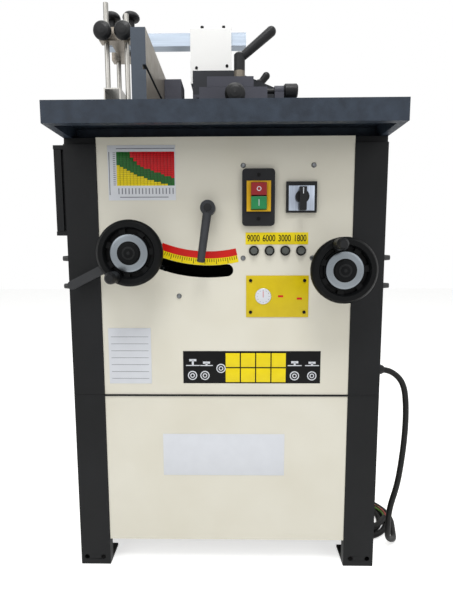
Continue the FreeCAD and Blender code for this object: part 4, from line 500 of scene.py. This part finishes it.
def finished(name, finish, body):
    """Names the active piece, puts its place into its mesh, paints it and lets it ride on a body."""
    piece = bpy.context.object
    piece.name = name
    bpy.ops.object.transform_apply(location=True, rotation=True, scale=True)
    bpy.ops.object.shade_smooth_by_angle(angle=math.radians(35))
    piece.data.materials.clear()
    piece.data.materials.append(finish)
    if body:
        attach(piece, body)
    return piece


def slab(name, low, high, edge, finish, body):
    """A flat piece from a cube, with softened edges; its corners are places in millimetres."""
    settle()
    a, b = at(*low), at(*high)
    bpy.ops.mesh.primitive_cube_add(size=1, location=(a + b) / 2)
    bpy.context.object.scale = b - a
    bpy.ops.object.transform_apply(location=False, rotation=False, scale=True)
    bpy.ops.object.mode_set(mode="EDIT")
    bpy.ops.mesh.select_all(action="SELECT")
    bpy.ops.mesh.bevel(offset=edge / 1000, segments=2, affect="EDGES")
    bpy.ops.object.mode_set(mode="OBJECT")
    return finished(name, finish, body)


def disc(name, centre, radius, depth, edge, finish, body):
    """A round piece that faces the front, from a cylinder with its rims bevelled."""
    settle()
    bpy.ops.mesh.primitive_cylinder_add(vertices=40, radius=radius / 1000, depth=depth / 1000,
                                        location=at(*centre), rotation=(math.radians(90), 0, 0))
    bpy.ops.object.transform_apply(location=False, rotation=True, scale=False)
    bpy.ops.object.mode_set(mode="EDIT")
    bpy.ops.mesh.select_all(action="DESELECT")
    bpy.ops.mesh.edges_select_sharp(sharpness=math.radians(60))
    bpy.ops.mesh.bevel(offset=edge / 1000, segments=3, affect="EDGES")
    bpy.ops.object.mode_set(mode="OBJECT")
    return finished(name, finish, body)


def joined(name, pieces, body):
    """Joins pieces into one that rides on a body."""
    settle()
    for piece in pieces:
        piece.select_set(True)
    bpy.context.view_layer.objects.active = pieces[0]
    bpy.ops.object.join()
    piece = bpy.context.object
    piece.name = name
    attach(piece, body)
    return piece


def arc_strip(name, inner, outer, start, end, depth, finish, body):
    """A curved strip about the tilt axis on the panel, spun from a small upright face."""
    settle()
    centre = at(TILT_AXIS[0], PANEL, TILT_AXIS[1])
    bpy.ops.mesh.primitive_plane_add(size=1)
    piece = bpy.context.object
    piece.scale = (depth / 1000, (outer - inner) / 1000, 1)
    bpy.ops.object.transform_apply(location=False, rotation=False, scale=True)
    angle = math.radians(start)
    middle = (inner + outer) / 2000
    ray = Vector((math.sin(angle), 0, -math.cos(angle)))
    side = Vector((math.cos(angle), 0, math.sin(angle)))
    place = Matrix((Vector((0, 1, 0)), ray, -side)).transposed().to_4x4()
    place.translation = centre + ray * middle - Vector((0, depth / 2000, 0))
    piece.matrix_world = place
    bpy.ops.object.transform_apply(location=True, rotation=True, scale=True)
    bpy.ops.object.mode_set(mode="EDIT")
    bpy.ops.mesh.select_all(action="SELECT")
    bpy.ops.mesh.spin(steps=36, angle=math.radians(end - start), center=centre, axis=(0, 1, 0))
    bpy.ops.mesh.select_all(action="SELECT")
    bpy.ops.mesh.remove_doubles(threshold=0.00001)
    bpy.ops.mesh.fill_holes(sides=4)
    bpy.ops.mesh.normals_make_consistent(inside=False)
    bpy.ops.object.mode_set(mode="OBJECT")
    return finished(name, finish, body)


def figures(name, words, centre, height, finish, body):
    """Plain numbers, a little raised, that face the front."""
    settle()
    bpy.ops.object.text_add(location=at(*centre), rotation=(math.radians(90), 0, 0))
    text = bpy.context.object
    text.data.body = words
    text.data.size = height / 1000 * 1.4
    text.data.extrude = 0.0002
    text.data.offset = 0.00015
    text.data.align_x = "CENTER"
    text.data.align_y = "CENTER"
    text.scale = (0.7, 1, 1)
    bpy.ops.object.convert(target="MESH")
    return finished(name, finish, body)


def tilt_scale():
    """The printed scale over the slot: a red and a yellow band with graduation lines."""
    arc_strip("scale_red_band", 239.5, 253, -21.5, 12.5, 0.5, SCALE_RED, "cabinet")
    arc_strip("scale_yellow_band", 253, 266, -21.5, 12.5, 0.5, BRIGHT_YELLOW, "cabinet")
    marks = []
    for i in range(35):
        angle = math.radians(-21 + i * 33 / 34)
        long = i % 5 == 0
        inner, outer = (254, 264) if long else (254, 260)
        middle = (inner + outer) / 2
        half = (outer - inner) / 2
        mark = slab(f"scale_mark_{i}", (-0.55, -0.3, -half), (0.55, 0.3, half), 0.1, INK, None)
        shift = at(0, 0, 0)
        for corner in mark.data.vertices:
            corner.co -= shift
        mark.rotation_euler = (0, -angle, 0)
        mark.location = at(TILT_AXIS[0] + middle * math.sin(angle), PANEL - 0.5,
                           TILT_AXIS[1] - middle * math.cos(angle))
        settle()
        mark.select_set(True)
        bpy.context.view_layer.objects.active = mark
        bpy.ops.object.transform_apply(location=True, rotation=True, scale=True)
        marks.append(mark)
    joined("scale_marks", marks, "cabinet")


def speed_chart():
    """A coloured chart of spindle speeds on a white film, with bare margins."""
    slab("chart_film", (-220.5, PANEL - 0.5, 747), (-93, PANEL, 848), 0.15, LABEL, "cabinet")
    columns = 17
    left, right, low, high = -204, -95, 774, 836
    step = (right - left) / columns
    rows = 18
    row = (high - low) / rows
    bands = {CHART_RED: [], CHART_GREEN: [], BRIGHT_YELLOW: []}
    for i in range(columns):
        x = left + i * step
        share = i / (columns - 1)
        first = low + row * round((0.6 - 0.95 * share + 0.36 * share * share) * rows)
        fall = 0.805 - 0.59 * share + 5 * max(0, 0.45 - share) ** 2
        second = low + row * round(min(1, fall) * rows)
        tints = ((BRIGHT_YELLOW, low, first), (CHART_GREEN, first, second), (CHART_RED, second, high))
        for finish, z0, z1 in tints:
            if z1 - z0 > 0.6:
                bands[finish].append(slab("chart_cell", (x, PANEL - 0.9, z0), (x + step, PANEL - 0.4, z1),
                                          0.1, finish, None))
    fields = (("chart_red", CHART_RED), ("chart_green", CHART_GREEN), ("chart_yellow", BRIGHT_YELLOW))
    for name, finish in fields:
        joined(name, bands[finish], "cabinet")
    rules = []
    for i in range(1, rows):
        z = low + row * i
        rules.append(slab("chart_rule", (left, PANEL - 1.0, z - 0.15), (right, PANEL - 0.6, z + 0.15),
                          0.08, INK, None))
    for i in range(1, columns):
        x = left + i * step
        rules.append(slab("chart_rule", (x - 0.2, PANEL - 1.0, low), (x + 0.2, PANEL - 0.6, high),
                          0.08, INK, None))
    joined("chart_rules", rules, "cabinet")
    near = PANEL - 0.7
    back = near + 0.4
    spans = [((left, near, 841), (right, back, 842.6)),
             ((left + 5, near, 752), (right - 12, back, 753.6)),
             ((left - 14.6, near, 757), (left - 13, back, high))]
    for i in range(columns):
        x = left + (i + 0.5) * step
        spans.append(((x - 1, near, 758.5), (x + 1, back, 769.5)))
    for i in range(rows):
        z = low + (i + 0.5) * row
        spans.append(((left - 6.5, near, z - 0.7), (left - 2, back, z + 0.7)))
    ticks = [slab("chart_tick", first, last, 0.1, GREY_INK, None) for first, last in spans]
    joined("chart_ticks", ticks, "cabinet")


def hand_signs():
    """Plain white signs on the black film: handwheels, and spindles over a table line."""
    near = PANEL - 0.7
    for x, z in ((-65.8, 406.3), (-41.2, 406.3), (-9.4, 420.7), (135.6, 405.8), (169.8, 405.8)):
        for i, (radius, finish) in enumerate(((9.2, LABEL), (7.2, INK), (4.6, LABEL), (2.7, INK))):
            disc("wheel_sign", (x, near - i * 0.12, z), radius, 0.4, 0.08, finish, "cabinet")
    front, back = near - 0.2, near + 0.2
    for x, half, head in ((-65, 13.5, 437), (-38, 12.5, 432), (135.8, 13.7, 433), (169.8, 13.7, 432)):
        marks = [slab("table_line", (x - half, front, 425.6), (x + half, back, 427.4), 0.1, LABEL, None),
                 slab("arbor", (x - 2, front, 427), (x + 2, back, head), 0.1, LABEL, None),
                 slab("cutter", (x - 7, front, head - 2), (x + 7, back, head + 2.4), 0.15, LABEL, None)]
        joined("spindle_sign", marks, "cabinet")


def labels():
    """The bare plates and films on the panels, the numbers over the lamps and the dial plate."""
    slab("speed_label", (38.5, PANEL - 0.5, 663.2), (157.8, PANEL, 686), 0.2, BRIGHT_YELLOW, "cabinet")
    for i, words in enumerate(("9000", "6000", "3000", "1800")):
        figures(f"speed_{words}", words, (53.5 + i * 29.6, PANEL - 0.7, 674.5), 12.5, INK, "cabinet")
    slab("dial_plate", (39.8, PANEL - 1.6, 523.2), (160.2, PANEL, 604), 0.4, YELLOW, "cabinet")
    for x in (48.5, 152):
        for z in (533, 594.5):
            disc("plate_rivet", (x, PANEL - 2.2, z), 3.2, 1.8, 0.6, INK, "cabinet")
    disc("dial_glass", (DIAL[0], PANEL - 2.4, DIAL[1]), 14.7, 2.6, 0.8, LABEL, "cabinet")
    disc("dial_rim", (DIAL[0], PANEL - 2.0, DIAL[1]), 15.6, 2.0, 0.7, STEEL, "cabinet")
    ticks = []
    for i in range(12):
        angle = math.radians(i * 30)
        x = DIAL[0] + 11.5 * math.sin(angle)
        z = DIAL[1] + 11.5 * math.cos(angle)
        ticks.append(slab("dial_tick", (x - 0.5, PANEL - 4.0, z - 0.5), (x + 0.5, PANEL - 3.6, z + 0.5),
                          0.1, INK, None))
    joined("dial_ticks", ticks, "cabinet")
    slab("dial_hand", (72.2, PANEL - 4.1, 562), (73.2, PANEL - 3.7, 574), 0.15, SCALE_RED, "cabinet")
    for x, z in ((106.5, 564), (142.5, 559.5)):
        slab("dial_arrow", (x - 5, PANEL - 1.9, z - 2), (x + 5, PANEL - 1.5, z + 2), 0.15,
             SCALE_RED, "cabinet")
    slab("film_strip", (-84.2, PANEL - 0.5, 390.3), (186.4, PANEL, 455.5), 0.2, INK, "cabinet")
    for row in range(2):
        for column in range(4):
            x = -1.4 + column * 30.2
            z = 391.6 + row * 30.6
            slab("film_tile", (x + 1.2, PANEL - 0.8, z + 1.2), (x + 29, PANEL - 0.4, z + 29.2), 0.2,
                 BRIGHT_YELLOW, "cabinet")
    slab("blank_film", (-231, PANEL - 0.5, 389.5), (-147, PANEL, 501.5), 0.15, LABEL, "cabinet")
    rules = []
    for i in range(7):
        z = 400 + i * 14
        rules.append(slab("film_rule", (-226, PANEL - 0.7, z - 0.4), (-152, PANEL - 0.4, z + 0.4),
                          0.1, GREY_INK, None))
    joined("film_rules", rules, "cabinet")
    slab("blank_plate", (-127, PANEL - 0.8, 197.5), (117.5, PANEL, 285), 0.3, LABEL, "cabinet")


def switches():
    """The yellow frame round the two buttons, the selector's face and pointer, and the lamps' rims."""
    near = PANEL - 15.0
    parts = [
        slab("frame_left", (40, near - 1.2, 724), (48.2, near, 780), 0.5, AMBER, None),
        slab("frame_right", (77, near - 1.2, 724), (85, near, 780), 0.5, AMBER, None),
        slab("frame_top", (40, near - 1.1, 777.2), (85, near, 780), 0.4, AMBER, None),
        slab("frame_low", (40, near - 1.1, 724), (85, near, 727), 0.4, AMBER, None),
    ]
    joined("switch_frame", parts, "cabinet")
    disc("stop_mark", (62.5, near - 9.2, 764.5), 4.2, 0.8, 0.25, LABEL, "stop_button")
    disc("stop_mark_middle", (62.5, near - 9.4, 764.5), 2.9, 0.8, 0.25, RED, "stop_button")
    slab("start_mark", (61.9, near - 9.4, 733.5), (63.1, near - 8.8, 745.5), 0.2, LABEL, "start_button")
    for z in (711, 791.5):
        disc("switch_screw", (62.5, PANEL - 10.4, z), 3.6, 1.6, 0.5, INK, "cabinet")
    slab("selector_face", (119, PANEL - 7.5, 726), (167, PANEL - 6.8, 772), 0.3, FACE, "cabinet")
    slab("selector_pointer", (142.2, PANEL - 27.8, 755), (143.8, PANEL - 27.2, 766), 0.2,
         LABEL, "selector_knob")
    for i in range(4):
        disc("lamp_rim", (54.5 + i * 29.9, PANEL - 2.2, 651.5), 9.6, 3.4, 0.9, INK, "cabinet")


def caps_and_sockets():
    """Black ringed caps over the wheels' shaft ends, the clamp's washer and nut, the guard post's screws."""
    for name, (x, z) in (("height_wheel", HEIGHT_WHEEL), ("tilt_wheel", TILT_WHEEL)):
        disc("hub_cap", (x, -70.4, z), 18.5, 3.0, 1.0, CAP, name)
        disc("hub_ring", (x, -72.0, z), 11.5, 1.2, 0.5, CHARCOAL, name)
        disc("hub_middle", (x, -72.7, z), 8.5, 1.0, 0.4, CAP, name)
        disc("hub_pip", (x, -73.2, z), 3.0, 0.8, 0.3, CHARCOAL, name)
    disc("clamp_washer", (CLAMP[0], PANEL - 24.8, CLAMP[1]), 10.6, 1.4, 0.4, LEVER, "tilt_clamp_lever")
    disc("clamp_nut", (CLAMP[0], PANEL - 26.2, CLAMP[1]), 7.6, 3.0, 0.8, BLACK, "tilt_clamp_lever")
    for x, z in ((-74.4, 1095), (0.2, 1098.9)):
        disc("post_screw", (x, 284.4, z), 3.6, 1.6, 0.5, INK, "fence")
    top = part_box("guard_post")[1][2] * 1000
    for x in (-60, -7.7):
        slab("post_top_screw", (x - 4, 288, top - 0.3), (x + 4, 296, top + 8), 2.2, INK, "fence")


# The mains cord, in millimetres and quarter turns. The spline runs a little inside its points.
CORD_RADIUS = 6
COIL_CENTRE = (308, 158)
COIL_RADIUS = 88
COIL_PITCH = 15
COIL_LAYER = 13.5
COIL_START_ANGLE = -28
QUARTERS_IN = 8
QUARTERS_CLIMBING = 2
QUARTERS_OUT = 2
STEPS_PER_QUARTER = 4
SPLINE_SWELL = 1.004
HANG = [(305, 45, 407), (328, 45, 407), (347.6, 45.1, 398.9), (362.6, 45.2, 383.9), (370.7, 45.3, 364.3),
        (374.6, 45.4, 335), (376.2, 45.5, 298), (375, 45.6, 253), (371, 45.7, 204), (364.5, 45.8, 152),
        (349.4, 45.9, 98), (348.1, 46, 44.3), (354.6, 58.3, 20.1)]


def coil_route():
    """The coil's points, sixteen to a turn: in on the floor, a climb, and out on top."""
    points = []
    quarters = QUARTERS_IN + QUARTERS_CLIMBING + QUARTERS_OUT
    for i in range(STEPS_PER_QUARTER * quarters + 1):
        quarter = i / STEPS_PER_QUARTER
        angle = math.radians(COIL_START_ANGLE + 90 * quarter)
        inward = min(quarter, QUARTERS_IN) / 4
        outward = max(0, quarter - QUARTERS_IN - QUARTERS_CLIMBING) / 4
        radius = (COIL_RADIUS - COIL_PITCH * (inward - outward)) * SPLINE_SWELL
        rise = min(max(quarter - QUARTERS_IN, 0), QUARTERS_CLIMBING) / QUARTERS_CLIMBING
        rise = rise * rise * (3 - 2 * rise)
        x = COIL_CENTRE[0] + radius * math.cos(angle)
        y = COIL_CENTRE[1] + radius * math.sin(angle)
        points.append((x, y, CORD_RADIUS + 0.2 + COIL_LAYER * rise))
    return points


def line(name, points, radius, finish):
    """A round cord on one smooth open spline."""
    curve = bpy.data.curves.new(name, "CURVE")
    curve.dimensions = "3D"
    spline = curve.splines.new("NURBS")
    spline.points.add(len(points) - 1)
    for spot, place in zip(spline.points, points):
        spot.co = (*at(*place), 1)
    spline.order_u = 3
    spline.use_endpoint_u = True
    spline.resolution_u = 6
    curve.bevel_depth = radius / 1000
    curve.bevel_resolution = 5
    curve.use_fill_caps = True
    piece = bpy.data.objects.new(name, curve)
    bpy.context.collection.objects.link(piece)
    piece.data.materials.append(finish)
    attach(piece, "cabinet")
    return piece


def mains_cord():
    """The cord out of the gland, down to the floor and into its coil, with three bare cores."""
    coil = coil_route()
    start = Vector(coil[0])
    way = (Vector(coil[1]) - start).normalized()
    lead = [tuple(start - way * 42), tuple(start - way * 12)]
    route = HANG + lead + coil
    end = Vector(coil[-1])
    onward = (end - Vector(coil[-2])).normalized()
    route.append(tuple(end + onward * 12))
    cord = line("mains_cord", route, CORD_RADIUS, RUBBER)
    side = Vector((-onward.y, onward.x, 0))
    tip = end + onward * 11
    for name, finish, spread, lift in (("core_red", CORE_RED, 22, -2), ("core_brown", CORE_BROWN, 34, 1),
                                       ("core_green", CORE_GREEN, 46, -3)):
        first = (spread - 34) * 0.15
        points = [tuple(tip + side * first), tuple(tip + onward * 12 + side * (first + spread * 0.12)),
                  tuple(tip + onward * 25 + side * (spread * 0.5) + Vector((0, 0, lift * 0.7))),
                  tuple(tip + onward * 32 + side * spread + Vector((0, 0, lift)))]
        line(name, points, 1.7, finish)
        last = Vector(points[-1])
        away = (last - Vector(points[-2])).normalized()
        strands = [points[-1], tuple(last + away * 6), tuple(last + away * 10)]
        line(name + "_strands", strands, 0.8, COPPER)
    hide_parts("cord_drop", "cord_coil")


set_camera()
set_studio()
dress_solids()
mains_cord()
tilt_scale()
speed_chart()
labels()
switches()
hand_signs()
caps_and_sockets()
